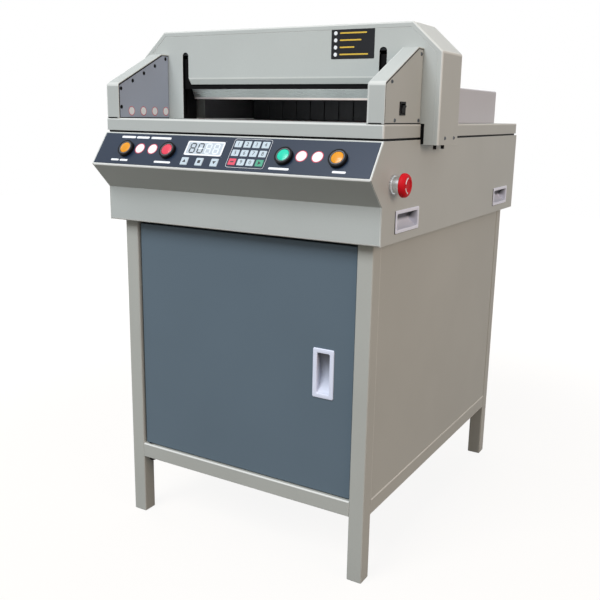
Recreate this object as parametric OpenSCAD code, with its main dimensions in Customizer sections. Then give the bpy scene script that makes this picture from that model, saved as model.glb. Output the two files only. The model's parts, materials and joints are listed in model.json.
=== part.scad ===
// Electric paper cutter on a cabinet stand. Millimetres, +Z up, front towards -Y,
// origin on the floor under the middle of the machine.

/* [Stand] */
// Width over the outer faces of the legs
stand_w = 576; // [520:1:600]
// Depth over the outer faces of the legs
stand_d = 753; // [680:1:760]
// Height from the floor to the underside of the machine
stand_h = 666; // [550:1:800]
// Side of the square leg tube
leg_w = 32; // [28:1:40]
// Wall of the leg and rail tubes
tube_wall = 2; // [1.5:0.1:3]
// Floor to the underside of the bottom rails
rail_z = 134; // [60:1:200]
// Thickness of the cabinet sheets
panel_t = 1.5; // [1:0.1:2]
// Set-back of the cabinet panels behind the faces of the legs
panel_recess = 1; // [0.5:0.1:3]
// Thickness of the top plate of the stand
top_plate_t = 3; // [2:0.5:6]

/* [Door] */
// Set-back of the door behind the front of the legs
door_recess = 6; // [3:0.5:8]
// Depth of the door pan
door_t = 18; // [18:1:24]
// Gap beside, under and over the door
door_gap = 2.5; // [2:0.1:5]
// Diameter of the door pivot pins
pivot_d = 8; // [6:0.5:9]
// Door edge to the pivot axis
pivot_in = 11; // [10:0.5:14]
// Free edge of the door to the middle of its pull
door_pull_in = 63; // [45:1:120]
// Lower edge of the door to the middle of its pull
door_pull_up = 241; // [150:1:320]
// Width of the door pull
door_pull_w = 45; // [40:1:60]
// Height of the door pull
door_pull_h = 98; // [90:1:120]
// Depth of the hollow of the door pull
door_pull_depth = 13; // [10:0.5:15]

/* [Case] */
// Width over the case sides
case_w = 620; // [610:1:650]
// Depth from the front band to the rear wall
case_d = 787; // [780:1:840]
// Height of the case
case_h = 178; // [170:1:210]
// Height of the vertical band at the front
band_h = 68; // [55:1:80]
// Height of the nose above the underside of the case
nose_h = 116; // [108:1:126]
// Reach of the nose in front of the band
nose_out = 47; // [35:1:60]
// Run of the slanted control face from the nose back to its upper edge
panel_back = 44.5; // [36:0.5:52]
// Overhang of the band in front of the legs
overhang = 21; // [10:1:30]
// Thickness of the case sheets
sheet = 2; // [1.5:0.1:2.5]

/* [Side pulls] */
// Length of a side pull
grip_w = 106; // [90:1:120]
// Height of a side pull
grip_h = 41; // [36:1:50]
// Depth of the hollow of a side pull
grip_depth = 18; // [12:0.5:22]
// Middle of a pull from the front band and from the rear wall
grip_in = 110; // [80:1:140]
// Middle of a pull above the underside of the case
grip_up = 36.5; // [30:0.5:45]
// Rim of a pull round its hollow
grip_rim = 6.5; // [4:0.5:8]

/* [Control face] */
// Diameter of the button bezels
bezel_d = 34.5; // [32:0.5:40]
// Diameter of the button caps
cap_d = 23; // [20:0.5:28]
// Height of the bezels above the overlay
bezel_h = 6.5; // [6:0.5:9]
// Press of a button cap
cap_travel = 3.5; // [2:0.1:4]
// Left cut button, from the middle
cut_left_x = -235; // [-250:1:-200]
// Power button, from the middle
power_x = -130; // [-150:1:-120]
// Reset button, from the middle
reset_x = 131; // [125:1:150]
// Right cut button, from the middle
cut_right_x = 238; // [200:1:250]
// Height of the button row along the slant
button_s = 37; // [34:0.5:46]
// Width of the display window
display_w = 89; // [70:1:100]
// Height of the display window along the slant
display_h = 33.5; // [24:0.5:38]
// Width of the keypad field
keypad_w = 82.5; // [70:0.5:90]

/* [Stop button] */
// Diameter of the mushroom head
stop_d = 42; // [36:0.5:50]
// Press of the mushroom head
stop_travel = 5; // [3:0.5:6]
// Middle of the stop button behind the front band
stop_in = 41; // [36:1:60]
// Middle of the stop button above the underside of the case
stop_up = 104; // [90:1:130]

/* [Table] */
// Width of the table
table_w = 618; // [600:1:620]
// Height of the table edge
table_h = 24; // [18:1:30]
// Shadow gap between case and table
table_gap = 4; // [2:0.5:8]
// Thickness of the table plate
table_t = 4; // [3:0.5:6]
// Thickness of the table edge
skirt_t = 3; // [2:0.5:4]

/* [Frame] */
// Depth of the cutting bed
bed_d = 77; // [72:1:84]
// Height of the cutting bed
bed_h = 36; // [32:1:42]
// Width over the base plates
base_w = 556; // [540:1:566]
// Thickness of the base plates
base_t = 10; // [6:1:14]
// Clear width between the posts
throat_w = 524; // [510:1:530]
// Thickness of the posts
post_t = 12; // [10:1:14]
// Height of the top cross bar
bar_h = 24; // [18:1:28]

/* [Beam cover] */
// Width over the column covers
beam_w = 690; // [670:1:720]
// Width of the flat top of the hood
beam_top_w = 572; // [540:1:600]
// Depth of the hood
beam_d = 102; // [98:1:120]
// Height of the hood above the table
beam_h = 179; // [172:1:200]
// Fall from the flat top to the shoulders
shoulder_drop = 53; // [40:1:60]
// Reach of the column covers below the table top
column_drop = 37; // [30:1:42]
// Front edge of the table to the front of the hood
beam_set = 157; // [130:1:170]
// Width of the turned-in front edge of the hood
flange_w = 10; // [6:0.5:14]
// Width of the two front slots
slot_w = 15; // [10:0.5:18]
// Middle of a front slot from the middle plane
slot_x = 229; // [215:1:232]
// Top of the hood to the top of the front slots
slot_drop = 43; // [36:1:60]
// Top of the hood to the fold of the front lip
fold_drop = 96; // [90:1:100]
// Height of the front lip
lip_h = 12.5; // [10:0.5:16]

/* [Knife] */
// Raised edge of the knife above the table
cut_open = 41; // [34:0.5:44]
// Length of the knife
knife_len = 452; // [400:1:460]
// Height of the knife
knife_h = 72; // [60:1:76]
// Thickness of the knife
knife_t = 9; // [6:0.5:10]
// Height of the ground face of the knife
bevel_h = 20; // [8:0.5:24]
// Height of the honed strip along the edge
land_h = 4.5; // [2:0.5:6]
// Thickness of the knife carrier
carrier_t = 12; // [11:0.5:14]
// Height of the knife carrier
carrier_h = 61; // [50:1:66]
// Lower edge of the carrier above the knife edge
knife_show = 21; // [12:0.5:24]
// Diameter of the pull rods
rod_d = 11; // [8:0.5:12]
// Radius of the crank pin
crank_r = 40; // [34:0.5:44]
// Diameter of the crank pin
crank_pin_d = 16; // [12:0.5:18]

/* [Clamp] */
// Raised clamp above the table
clamp_open = 43; // [38:0.5:46]
// Length of the clamp bar
clamp_len = 460; // [420:1:470]
// Depth of the clamp bar
clamp_t = 24; // [22:0.5:28]
// Height of the clamp bar
clamp_h = 46; // [42:1:50]
// Diameter of the clamp screw
clamp_screw_d = 14; // [12:0.5:16]

/* [Back gauge] */
// Length of the gauge block
gauge_len = 444; // [400:1:460]
// Depth of the gauge block
gauge_d = 40; // [30:1:44]
// Height of the gauge block
gauge_h = 53; // [40:1:60]
// Front face of the gauge behind the knife
gauge_at = 218; // [200:1:240]
// Diameter of the gauge screw
gauge_screw_d = 12; // [10:0.5:14]

/* [Rear cover] */
// Width of the rear cover
cover_w = 560; // [540:1:580]
// Length of the rear cover
cover_len = 434; // [424:1:440]
// Height of the rear cover above the table
cover_h = 74; // [68:1:100]

/* [Side guards] */
// Thickness of a side guard
guard_t = 34; // [28:1:34]
// Front height of a guard
guard_front_h = 67; // [55:1:80]
// Rear height of a guard
guard_back_h = 132; // [120:1:150]
// Run of the sloping top of a guard
guard_run = 134; // [90:1:140]
// Diameter of a sensor hole
sensor_d = 8; // [5:0.5:10]
// Side of the rocker switch frame
switch_w = 23; // [20:0.5:26]

/* [Clearances] */
// Radial play of pins and shafts in their bores
run_fit = 0.05; // [0.03:0.01:0.08]
// Play of sliding pieces in their guides
slide_fit = 0.4; // [0.3:0.05:0.6]
// Seam between fixed covers
seam = 0.5; // [0.3:0.1:1]

/* [Hidden] */
$fn = 64;

// Overshoot of a cutting shape past the face it opens
cut = 1;
// Length of the turned edges of folded sheets
fold = 14;

// Stations in depth
y_nose = -(nose_out + case_d) / 2;
y_band = y_nose + nose_out;
y_rear = y_band + case_d;
y_leg = y_band + overhang;
y_leg_rear = y_leg + stand_d;
table_lead = 2.5;
table_rear_in = 3;
y_table = y_band - table_lead;
y_table_rear = y_rear - table_rear_in;
y_beam = y_table + beam_set;
y_beam_rear = y_beam + beam_d;

// Stations in height
z_case = stand_h;
z_top_plate = stand_h - top_plate_t;
z_rail = rail_z + leg_w;
z_band = z_case + band_h;
z_nose = z_case + nose_h;
z_panel = z_case + case_h;
z_skirt = z_panel + table_gap;
z_table = z_skirt + table_h;
z_plate = z_table - table_t;
z_bed = z_table - bed_h;
z_beam = z_table + beam_h;
z_shoulder = z_beam - shoulder_drop;
z_column = z_table - column_drop;
z_fold = z_beam - fold_drop;

// Half widths
x_leg = stand_w / 2;
x_leg_in = x_leg - leg_w;
x_case = case_w / 2;
x_table = table_w / 2;
x_base = base_w / 2;
x_post = throat_w / 2;
x_beam = beam_w / 2;
x_beam_top = beam_top_w / 2;
x_guard = x_table - seam;
column_gap = 6;
x_column = max(x_case, x_table) + column_gap;

// Places along the paper path, from the front cover backwards
front_t = 1.6;
front_recess = 0.4;
y_front = y_beam + front_recess;
lip_in = 3.5;
carrier_gap = 0.8;
y_carrier = y_front + lip_in + front_t + carrier_gap;
y_knife = y_carrier + carrier_t;
y_edge = y_knife + knife_t;
blade_gap = 2;
y_clamp = y_edge + blade_gap;
y_clamp_mid = y_clamp + clamp_t / 2;
y_rod = y_carrier + carrier_t / 2;
y_bed = y_front + front_t + seam;
y_bed_rear = y_bed + bed_d;

// Knife and its drive
edge_clear = 0.3;
stroke = cut_open - edge_clear;
z_edge = z_table + cut_open;
z_carrier = z_edge + knife_show;
rod_in = 13;
x_rod = x_post - rod_in;
groove = 6;
crank_swing = asin(stroke / (2 * crank_r));
yoke_drop = 60;
yoke_h = 36;
z_yoke = z_bed - yoke_drop;
crank_x = -37;
z_crank = z_yoke - crank_r * sin(crank_swing);
pin_play = 0.8;
crank_t = 12;
crank_edge = 10;
crank_shaft_d = 20;
yoke_gap = 6;
y_yoke_rear = y_carrier + carrier_t;
y_crank = y_yoke_rear + yoke_gap;
gearbox_w = 120;
gearbox_d = 84;
gearbox_rise = 40;
y_gearbox = y_crank + crank_t + slide_fit;

// Clamp and its drive
z_clamp = z_table + clamp_open;
tongue_t = 12;
tongue_h = 20;
nut_h = 22;
nut_d = 32;
bar_room = 25;
post_h = beam_h - bar_room - bar_h;
z_bar = z_table + post_h;
z_bar_top = z_bar + bar_h;
screw_end = 10;
screw_top = 6;

// Back gauge and its drive
y_gauge = y_edge + gauge_at;
gauge_clear = 0.4;
foot_len = 35;
foot_h = 8;
foot_w = 80;
neck_w = 14;
nut_len = 30;
nut_w = 50;
screw_drop = 52;
z_screw = z_table - screw_drop;
screw_block = 40;
gauge_front_room = 180;
y_nut = y_gauge + gauge_d + foot_len - nut_len;
bearing_t = 12;
motor_w = 56;
motor_len = 42;
bearing_gap = 6;
nut_room = 15;
y_bearing_front = y_bed_rear + bearing_gap;
wall_room = 26.2;
y_bearing_rear = y_rear - sheet - wall_room - motor_len - bearing_t;
gauge_rear_room = y_bearing_rear - nut_room - (y_gauge + gauge_d + foot_len);

// Rear cover
cover_gap = 3;
y_cover = y_beam_rear + cover_gap;
y_cover_rear = y_cover + cover_len;
hinge_r = 4;
hinge_pin_r = 2;
hinge_x = 200;
knuckle = 11;
hinge_up = 6;
hinge_back = 7;
y_hinge = y_cover_rear + hinge_back;
z_hinge = z_table + hinge_up;

// Door
y_door = y_leg + door_recess;
pivot_wall = 1.6;
pivot_back = panel_t + pivot_wall + pivot_d / 2;
swing_clear = 0.7;
x_door = -x_leg_in + norm([pivot_in, pivot_back]) - pivot_in + swing_clear;
x_door_free = x_leg_in - door_gap;
z_door = z_rail + door_gap;
z_door_top = z_top_plate - 2 * door_gap;
x_pivot = x_door + pivot_in;
y_pivot = y_door + pivot_back;
pivot_block = 14;
washer_rim = 3.5;
head_rim = 3.2;
washer_play = 0.3;
washer_t = door_gap - washer_play;

// Control face
panel_rise = case_h - nose_h;
panel_len = norm([panel_back, panel_rise]);
panel_tilt = atan2(panel_back, panel_rise);
overlay_t = 0.8;
overlay_bond = 0.02;
overlay_edge = 3;
neck_r = 11;
block_r = 14;
block_depth = 42;
stem_r = 5.5;
cap_skirt = 2;
display_x = -47.5;
display_s = 46.5;
keypad_x = 55.2;
key_size = 16;
key_h = 0.6;
key_pitch = 19.7;
keypad_s = 40.6;
soft_key_x = -48;
soft_key_pitch = 34.5;
soft_key_s = 17.5;
board_gap = 10;
board_t = 1.6;
standoff_r = 3;

// Stop button
y_stop = y_band + stop_in;
z_stop = z_case + stop_up;
collar_r = 14.5;
collar_len = 17.5;
stop_rise = 8;
stop_stem_r = 8;
stop_neck_r = 6;
stop_inner = 24;
stop_floor = 2;
stop_lap = 0.5;

// Side guards
z_guard = z_table;
y_guard_end = y_beam - seam;
plate_in = 1;
guard_y0 = y_table;
guard_ys = guard_y0 + guard_run;
z_guard_front = z_guard + guard_front_h;
z_guard_back = z_guard + guard_back_h;
switch_in = 74;
switch_up = 26;
y_switch = guard_y0 + switch_in;
z_switch = z_guard + switch_up;

// Fasteners
screw_r = 3.5;
screw_h = 1.6;
screw_crown_r = 2.4;
screw_socket_r = 1.6;
bolt_r = 3.5;
bolt_h = 9.5;
bolt_in = 10;
bolt_front_in = 25;
bolt_rear_in = 12;

// Box between two corners, given as ranges
module block(x, y, z) {
  translate([x[0], y[0], z[0]])
    cube([x[1] - x[0], y[1] - y[0], z[1] - z[0]]);
}

// Range of a given width about a middle
function about(middle, width) = [middle - width / 2, middle + width / 2];

// Outline in (y, z) carried along X
module along_x(x) {
  translate([x[0], 0, 0])
    rotate([90, 0, 90])
      linear_extrude(x[1] - x[0])
        children();
}

// Outline in (x, z) carried along Y
module along_y(y) {
  translate([0, y[1], 0])
    rotate([90, 0, 0])
      linear_extrude(y[1] - y[0])
        children();
}

module rod_x(x, y, z, r) {
  translate([x[0], y, z])
    rotate([0, 90, 0])
      cylinder(h = x[1] - x[0], r = r);
}

module rod_y(x, y, z, r) {
  translate([x, y[0], z])
    rotate([-90, 0, 0])
      cylinder(h = y[1] - y[0], r = r);
}

module rod_z(x, y, z, r) {
  translate([x, y, z[0]])
    cylinder(h = z[1] - z[0], r = r);
}

// The same piece on the right and, mirrored, on the left
module both_sides() {
  children();
  mirror([1, 0, 0])
    children();
}

// Right-hand normal of a line
function right_of(v) = [v[1], -v[0]] / norm(v);

// Point i of a path moved to the right by t, with mitred corners
function mitred(path, i, t) =
  let (
    last = len(path) - 1,
    a = right_of(path[max(i, 1)] - path[max(i, 1) - 1]),
    b = right_of(path[min(i, last - 1) + 1] - path[min(i, last - 1)])
  )
  path[i] + t * (a + b) / (1 + a * b);

function moved(path, t) = [for (i = [0 : len(path) - 1]) mitred(path, i, t)];

// Section of a folded sheet: the path and the same path moved to the right
function folded(path, t) =
  concat(path, [for (i = [len(path) - 1 : -1 : 0]) mitred(path, i, t)]);

// Square tube along Z with a closed foot
module leg_tube(x, y) {
  difference() {
    block(about(x, leg_w), about(y, leg_w), [0, z_top_plate]);
    block(about(x, leg_w - 2 * tube_wall), about(y, leg_w - 2 * tube_wall),
      [2 * tube_wall, z_top_plate + cut]);
  }
}

// Square tube of side w between two legs, along X or along Y, open at its ends
module rail_x(y, z, w) {
  difference() {
    block([-x_leg_in, x_leg_in], [y, y + w], [z, z + w]);
    block([-x_leg_in - cut, x_leg_in + cut], [y + tube_wall, y + w - tube_wall],
      [z + tube_wall, z + w - tube_wall]);
  }
}

module rail_y(x, z, w) {
  difference() {
    block([x, x + w], [y_leg + leg_w, y_leg_rear - leg_w], [z, z + w]);
    block([x + tube_wall, x + w - tube_wall],
      [y_leg + leg_w - cut, y_leg_rear - leg_w + cut],
      [z + tube_wall, z + w - tube_wall]);
  }
}

module stand_legs() {
  color("#b0aea8")
    for (y = [y_leg + leg_w / 2, y_leg_rear - leg_w / 2])
      both_sides()
        leg_tube(x_leg - leg_w / 2, y);
}

// Bottom rails flush with the legs, and upper rails that leave room for the panels
module stand_rails() {
  upper_w = leg_w - panel_recess - panel_t;
  z_upper = z_top_plate - upper_w;
  color("#b0aea8") {
    difference() {
      rail_x(y_leg, rail_z, leg_w);
      rod_z(x_pivot, y_pivot, [rail_z - cut, z_rail + cut], pivot_d / 2 + run_fit);
    }
    rail_x(y_leg_rear - leg_w, rail_z, leg_w);
    rail_x(y_leg_rear - leg_w, z_upper, upper_w);
    both_sides() {
      rail_y(x_leg_in, rail_z, leg_w);
      rail_y(x_leg_in, z_upper, upper_w);
    }
  }
}

// Flat sheet between the legs of one side
module side_panel() {
  block([x_leg - panel_recess - panel_t, x_leg - panel_recess],
    [y_leg + leg_w + seam, y_leg_rear - leg_w - seam], [z_rail, z_top_plate]);
}

module left_side_panel() {
  color("#a5a29a")
    mirror([1, 0, 0])
      side_panel();
}

module right_side_panel() {
  color("#a5a29a")
    side_panel();
}

module back_panel() {
  color("#a5a29a")
    block([-x_leg_in + seam, x_leg_in - seam],
      [y_leg_rear - panel_recess - panel_t, y_leg_rear - panel_recess], [z_rail, z_top_plate]);
}

module cabinet_shelf() {
  shelf_lap = leg_w - panel_recess - panel_t - tube_wall - seam;
  color("#a5a29a")
    block([-x_leg_in - shelf_lap, x_leg_in + shelf_lap],
      [y_leg + leg_w + seam, y_leg_rear - leg_w - seam], [z_rail, z_rail + panel_t]);
}

module stand_top_plate() {
  color("#8f8c86")
    block([-x_leg, x_leg], [y_leg, y_leg_rear], [z_top_plate, stand_h]);
}

// Moulded pull: local X along its length, local Y towards its deep end, local Z outwards,
// with its flange on the plane Z = 0
pull_wall = 1.6;
pull_flange = 2;
pull_floor = 12;

module pull_body(w, h, rim, depth) {
  hollow_w = w - 2 * rim;
  low = -h / 2 + rim;
  high = h / 2 - rim;
  difference() {
    union() {
      translate([-w / 2, -h / 2, 0])
        cube([w, h, pull_flange]);
      along_x(about(0, hollow_w + 2 * pull_wall))
        polygon([
          [low - pull_wall, 0], [low - pull_wall, -pull_wall],
          [high - pull_floor, -depth - pull_wall], [high + pull_wall, -depth - pull_wall],
          [high + pull_wall, 0]
        ]);
    }
    along_x(about(0, hollow_w))
      polygon([
        [low, pull_flange + cut], [low, 0], [high - pull_floor, -depth],
        [high, -depth], [high, pull_flange + cut]
      ]);
  }
}

// Opening in a sheet for the body of such a pull
module pull_hole(w, h, rim, depth) {
  play = pull_wall + seam / 2;
  translate([-w / 2 + rim - play, -h / 2 + rim - play, -depth])
    cube([w - 2 * rim + 2 * play, h - 2 * rim + 2 * play, 2 * depth]);
}

door_pull_rim = 9;

// Carries a pull to its place on the door, deep end up
module at_door_pull() {
  translate([x_door_free - door_pull_in, y_door, z_door + door_pull_up])
    rotate([90, 0, 0])
      children();
}

module door_panel() {
  bore = pivot_d / 2 + run_fit;
  y_back = y_door + door_t;
  color("#5b6a75")
    difference() {
      union() {
        difference() {
          block([x_door, x_door_free], [y_door, y_back], [z_door, z_door_top]);
          block([x_door + panel_t, x_door_free - panel_t], [y_door + panel_t, y_back + cut],
            [z_door + panel_t, z_door_top - panel_t]);
        }
        for (z = [z_door, z_door_top - pivot_block])
          block([x_door, x_pivot + pivot_in], [y_door, y_back], [z, z + pivot_block]);
      }
      rod_z(x_pivot, y_pivot, [z_door - cut, z_door + pivot_block + cut], bore);
      rod_z(x_pivot, y_pivot, [z_door_top - pivot_block - cut, z_door_top + cut], bore);
      at_door_pull()
        pull_hole(door_pull_w, door_pull_h, door_pull_rim, panel_t + cut);
    }
}

module door_pull() {
  color("#d8d8e0")
    at_door_pull()
      pull_body(door_pull_w, door_pull_h, door_pull_rim, door_pull_depth);
}

module door_pivot_pins() {
  r = pivot_d / 2;
  washer_r = r + washer_rim;
  head_r = r + head_rim;
  color("#3a3a3c") {
    rod_z(x_pivot, y_pivot, [rail_z, z_door + pivot_block], r);
    rod_z(x_pivot, y_pivot, [z_rail, z_rail + washer_t], washer_r);
    translate([x_pivot, y_pivot, rail_z - pivot_d])
      cylinder(h = pivot_d, r = head_r, $fn = 6);
    rod_z(x_pivot, y_pivot, [z_door_top - pivot_block, z_top_plate], r);
    rod_z(x_pivot, y_pivot, [z_top_plate - washer_t, z_top_plate], washer_r);
  }
}

// Side outline of the case in (y, z)
y_panel = y_nose + panel_back;
case_outline = [
  [y_band, z_case], [y_band, z_band], [y_nose, z_nose], [y_panel, z_panel],
  [y_rear, z_panel], [y_rear, z_case]
];

// Carries a pull to the right side of the case at depth y, deep end up
module at_grip(y) {
  translate([x_case, y, z_case + grip_up])
    rotate([90, 0, 90])
      children();
}

grip_places = [y_band + grip_in, y_rear - grip_in];

module case_side() {
  difference() {
    along_x([x_case - sheet, x_case])
      polygon(case_outline);
    for (y = grip_places)
      at_grip(y)
        pull_hole(grip_w, grip_h, grip_rim, sheet + cut);
    block([x_case - sheet - cut, x_case + cut], [y_bed - seam, y_bed_rear + seam],
      [z_bed - seam, z_panel + cut]);
  }
}

module case_left_side() {
  color("#aaa69d")
    mirror([1, 0, 0])
      case_side();
}

module case_right_side() {
  color("#a09a8f")
    difference() {
      case_side();
      rod_x([x_case - sheet - cut, x_case + cut], y_stop, z_stop, neck_r + run_fit);
    }
}

// Carries a piece to the slanted control face: local X to the right, local Y up the slant,
// local Z outwards, origin on the nose
module on_panel() {
  translate([0, y_nose, z_nose])
    rotate([90 - panel_tilt, 0, 0])
      children();
}

button_places = [cut_left_x, power_x, reset_x, cut_right_x];

module case_front() {
  path = [
    [y_band + fold, z_case], [y_band, z_case], [y_band, z_band], [y_nose, z_nose],
    [y_panel, z_panel], [y_panel + fold, z_panel]
  ];
  x = x_case - sheet;
  color("#b0b5af")
    difference() {
      along_x([-x, x])
        polygon(folded(path, sheet));
      on_panel() {
        for (bx = button_places)
          translate([bx, button_s, -sheet - cut])
            cylinder(h = sheet + 2 * cut, r = neck_r + run_fit);
        translate([display_x - display_w / 2, display_s - display_h / 2, -sheet - cut])
          cube([display_w, display_h, sheet + 2 * cut]);
      }
    }
}

inlet_w = 50;
inlet_h = 30;
inlet_x = 200;
inlet_up = 60;
inlet_body_w = 40;
inlet_body_h = 24;
inlet_depth = 22;

module case_tray() {
  path = [[y_rear, z_panel], [y_rear, z_case], [y_band + fold + seam, z_case]];
  x = x_case - sheet;
  color("#aaa69d")
    difference() {
      along_x([-x, x])
        polygon(folded(path, sheet));
      block(about(inlet_x, inlet_body_w + seam), [y_rear - sheet - cut, y_rear + cut],
        about(z_case + inlet_up, inlet_body_h + seam));
    }
}

module side_pulls() {
  color("#d8d8e0")
    both_sides()
      for (y = grip_places)
        at_grip(y)
          pull_body(grip_w, grip_h, grip_rim, grip_depth);
}

// Appliance inlet in the rear wall: frame let into the wall, shrouded hollow and three blades
module power_inlet() {
  z = z_case + inlet_up;
  flange = 1.5;
  socket_w = 26;
  socket_h = 16;
  blade_w = 2;
  blade_h = 4;
  blade_pitch = 7;
  floor_t = 5;
  blade_in = 6;
  y_floor = y_rear - inlet_depth + floor_t;
  color("#202022") {
    difference() {
      union() {
        block(about(inlet_x, inlet_w), [y_rear - sheet - flange, y_rear - sheet],
          about(z, inlet_h));
        block(about(inlet_x, inlet_body_w), [y_rear - inlet_depth, y_rear], about(z, inlet_body_h));
      }
      block(about(inlet_x, socket_w), [y_floor, y_rear + cut], about(z, socket_h));
    }
    for (i = [-1 : 1])
      block(about(inlet_x + i * blade_pitch, blade_w), [y_floor, y_rear - blade_in],
        about(z + (i == 0 ? blade_h / 2 : -blade_h / 2), blade_h));
  }
}

// Key places on the control face: keypad and the row under the display
key_places = concat(
  [for (i = [-1.5 : 1 : 1.5], j = [-1 : 1]) [keypad_x + i * key_pitch, keypad_s + j * key_pitch]],
  [for (i = [-1 : 1]) [soft_key_x + i * soft_key_pitch, soft_key_s]]
);

module panel_overlay() {
  x = x_case - sheet - overlay_edge / 2;
  field_h = panel_len - 2 * overlay_edge;
  keypad_h = 3 * key_pitch;
  color("#55626f")
    on_panel()
      difference() {
        union() {
          translate([-x, overlay_edge, overlay_bond])
            cube([2 * x, field_h, overlay_t - overlay_bond]);
          translate([keypad_x - keypad_w / 2, keypad_s - keypad_h / 2, overlay_t / 2])
            cube([keypad_w, keypad_h, overlay_t / 2 + key_h / 2]);
          for (p = key_places)
            translate([p[0] - key_size / 2, p[1] - key_size / 2, overlay_t / 2])
              cube([key_size, key_size, overlay_t / 2 + key_h]);
        }
        for (bx = button_places)
          translate([bx, button_s, -cut])
            cylinder(h = overlay_t + 2 * cut, r = neck_r + run_fit);
        translate([display_x - display_w / 2, display_s - display_h / 2, -cut])
          cube([display_w, display_h, overlay_t + 2 * cut]);
      }
}

module display_window() {
  play = seam / 4;
  color("#c9d6cf")
    on_panel()
      translate([display_x - display_w / 2 + play, display_s - display_h / 2 + play, -sheet])
        cube([display_w - 2 * play, display_h - 2 * play, sheet + overlay_t]);
}

// Board behind the control face on four standoffs, with the display module on it
module control_board() {
  board_w = 196;
  board_h = 60;
  board_s = 38;
  inset = 6;
  color("#2c6a46")
    on_panel() {
      translate([-board_w / 2, board_s - board_h / 2, -sheet - board_gap - board_t])
        cube([board_w, board_h, board_t]);
      for (i = [-1, 1], j = [-1, 1])
        translate([i * (board_w / 2 - inset), board_s + j * (board_h / 2 - inset), -sheet - board_gap])
          cylinder(h = board_gap, r = standoff_r);
      translate([display_x - display_w / 2, display_s - display_h / 2, -sheet - board_gap])
        cube([display_w, display_h, board_gap]);
    }
}

// Bezel with its cup, threaded neck, nut and contact block
module bezel() {
  cup_floor = overlay_t + bezel_h - cap_skirt - cap_travel - slide_fit;
  nut_t = 5;
  difference() {
    union() {
      translate([0, 0, overlay_t])
        cylinder(h = bezel_h, d = bezel_d);
      translate([0, 0, -block_depth])
        cylinder(h = block_depth + overlay_t, r = neck_r);
      translate([0, 0, -sheet - nut_t])
        cylinder(h = nut_t, r = block_r, $fn = 6);
      translate([0, 0, -block_depth])
        cylinder(h = block_depth / 2, r = block_r);
    }
    translate([0, 0, cup_floor])
      cylinder(h = bezel_h + cut, r = cap_d / 2 + slide_fit);
    translate([0, 0, -block_depth / 2])
      cylinder(h = block_depth, r = stem_r + slide_fit);
  }
}

module button_bezels() {
  color("#1d1d1f")
    on_panel()
      for (bx = button_places)
        translate([bx, button_s, 0])
          bezel();
}

// Cap standing proud of its bezel, on a stem that ends in the contact block
module cap(bx) {
  proud = 1.2;
  edge = 1;
  z0 = overlay_t + bezel_h - cap_skirt;
  z_edge = overlay_t + bezel_h + proud - edge;
  z_stem = -block_depth / 2 + cap_travel + slide_fit;
  on_panel()
    translate([bx, button_s, 0]) {
      translate([0, 0, z0])
        cylinder(h = z_edge - z0, d = cap_d);
      translate([0, 0, z_edge])
        cylinder(h = edge, d1 = cap_d, d2 = cap_d - 2 * edge);
      translate([0, 0, z_stem])
        cylinder(h = z0 - z_stem, r = stem_r);
    }
}

module left_cut_cap() {
  color("#f5a623")
    cap(cut_left_x);
}

module power_cap() {
  color("#e8384f")
    cap(power_x);
}

module reset_cap() {
  color("#2ec492")
    cap(reset_x);
}

module right_cut_cap() {
  color("#f5a623")
    cap(cut_right_x);
}

// Stop button on the right side of the case, along X
module stop_collar() {
  nut_t = 4;
  base_t = 3;
  base_rim = 1.5;
  bore = stop_stem_r + run_fit;
  color("#c8c8cc")
    difference() {
      union() {
        rod_x([x_case, x_case + collar_len], y_stop, z_stop, collar_r);
        rod_x([x_case, x_case + base_t], y_stop, z_stop, collar_r + base_rim);
        rod_x([x_case - stop_inner, x_case], y_stop, z_stop, neck_r);
        translate([x_case - sheet - nut_t, y_stop, z_stop])
          rotate([0, 90, 0])
            cylinder(h = nut_t, r = collar_r, $fn = 6);
      }
      rod_x([x_case - stop_inner + stop_floor, x_case + collar_len + cut], y_stop, z_stop, bore);
    }
}

module stop_stem() {
  x_inner = x_case - stop_inner + stop_floor + stop_travel + slide_fit;
  x_shoulder = x_case + collar_len;
  color("#8a8a8e") {
    rod_x([x_inner, x_shoulder], y_stop, z_stop, stop_stem_r);
    rod_x([x_shoulder, x_shoulder + stop_rise], y_stop, z_stop, stop_neck_r);
  }
}

// Mushroom head with a hollow underside that goes over the collar
module stop_head() {
  r = stop_d / 2;
  under = stop_travel + stop_lap + slide_fit;
  x0 = x_case + collar_len - stop_lap;
  seat = stop_lap + stop_rise + run_fit;
  bore = stop_neck_r + run_fit;
  hollow = collar_r + slide_fit;
  bevel = 3;
  rim_under = 0.5;
  disc_step = 1.5;
  rim_h = seat - rim_under;
  disc_r = r - 2 * bevel;
  disc_h = rim_h + bevel;
  top_h = disc_h + disc_step;
  color("#c01522")
    translate([x0, y_stop, z_stop])
      rotate([0, 90, 0])
        rotate_extrude()
          polygon([
            [0, seat], [bore, seat], [bore, under], [hollow, under], [hollow, 0], [r, 0],
            [r, rim_h], [r - bevel, disc_h], [disc_r, disc_h], [disc_r, top_h], [0, top_h]
          ]);
}

// Table pan without its rear or front edge
module front_table() {
  y1 = y_bed - seam;
  color("#bcc1bc")
    difference() {
      block([-x_table, x_table], [y_table, y1], [z_skirt, z_table]);
      block([-x_table + skirt_t, x_table - skirt_t], [y_table + skirt_t, y1 + cut],
        [z_skirt - cut, z_plate]);
    }
}

module rear_table() {
  y0 = y_bed_rear + seam;
  neck_play = 2;
  color("#bcc1bc")
    difference() {
      block([-x_table, x_table], [y0, y_table_rear], [z_skirt, z_table]);
      block([-x_table + skirt_t, x_table - skirt_t], [y0 - cut, y_table_rear - skirt_t],
        [z_skirt - cut, z_plate]);
      block(about(0, neck_w + 2 * neck_play),
        [y_nut - gauge_front_room - neck_play, y_nut + nut_len + gauge_rear_room + neck_play],
        [z_plate - cut, z_table + cut]);
    }
}

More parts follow.
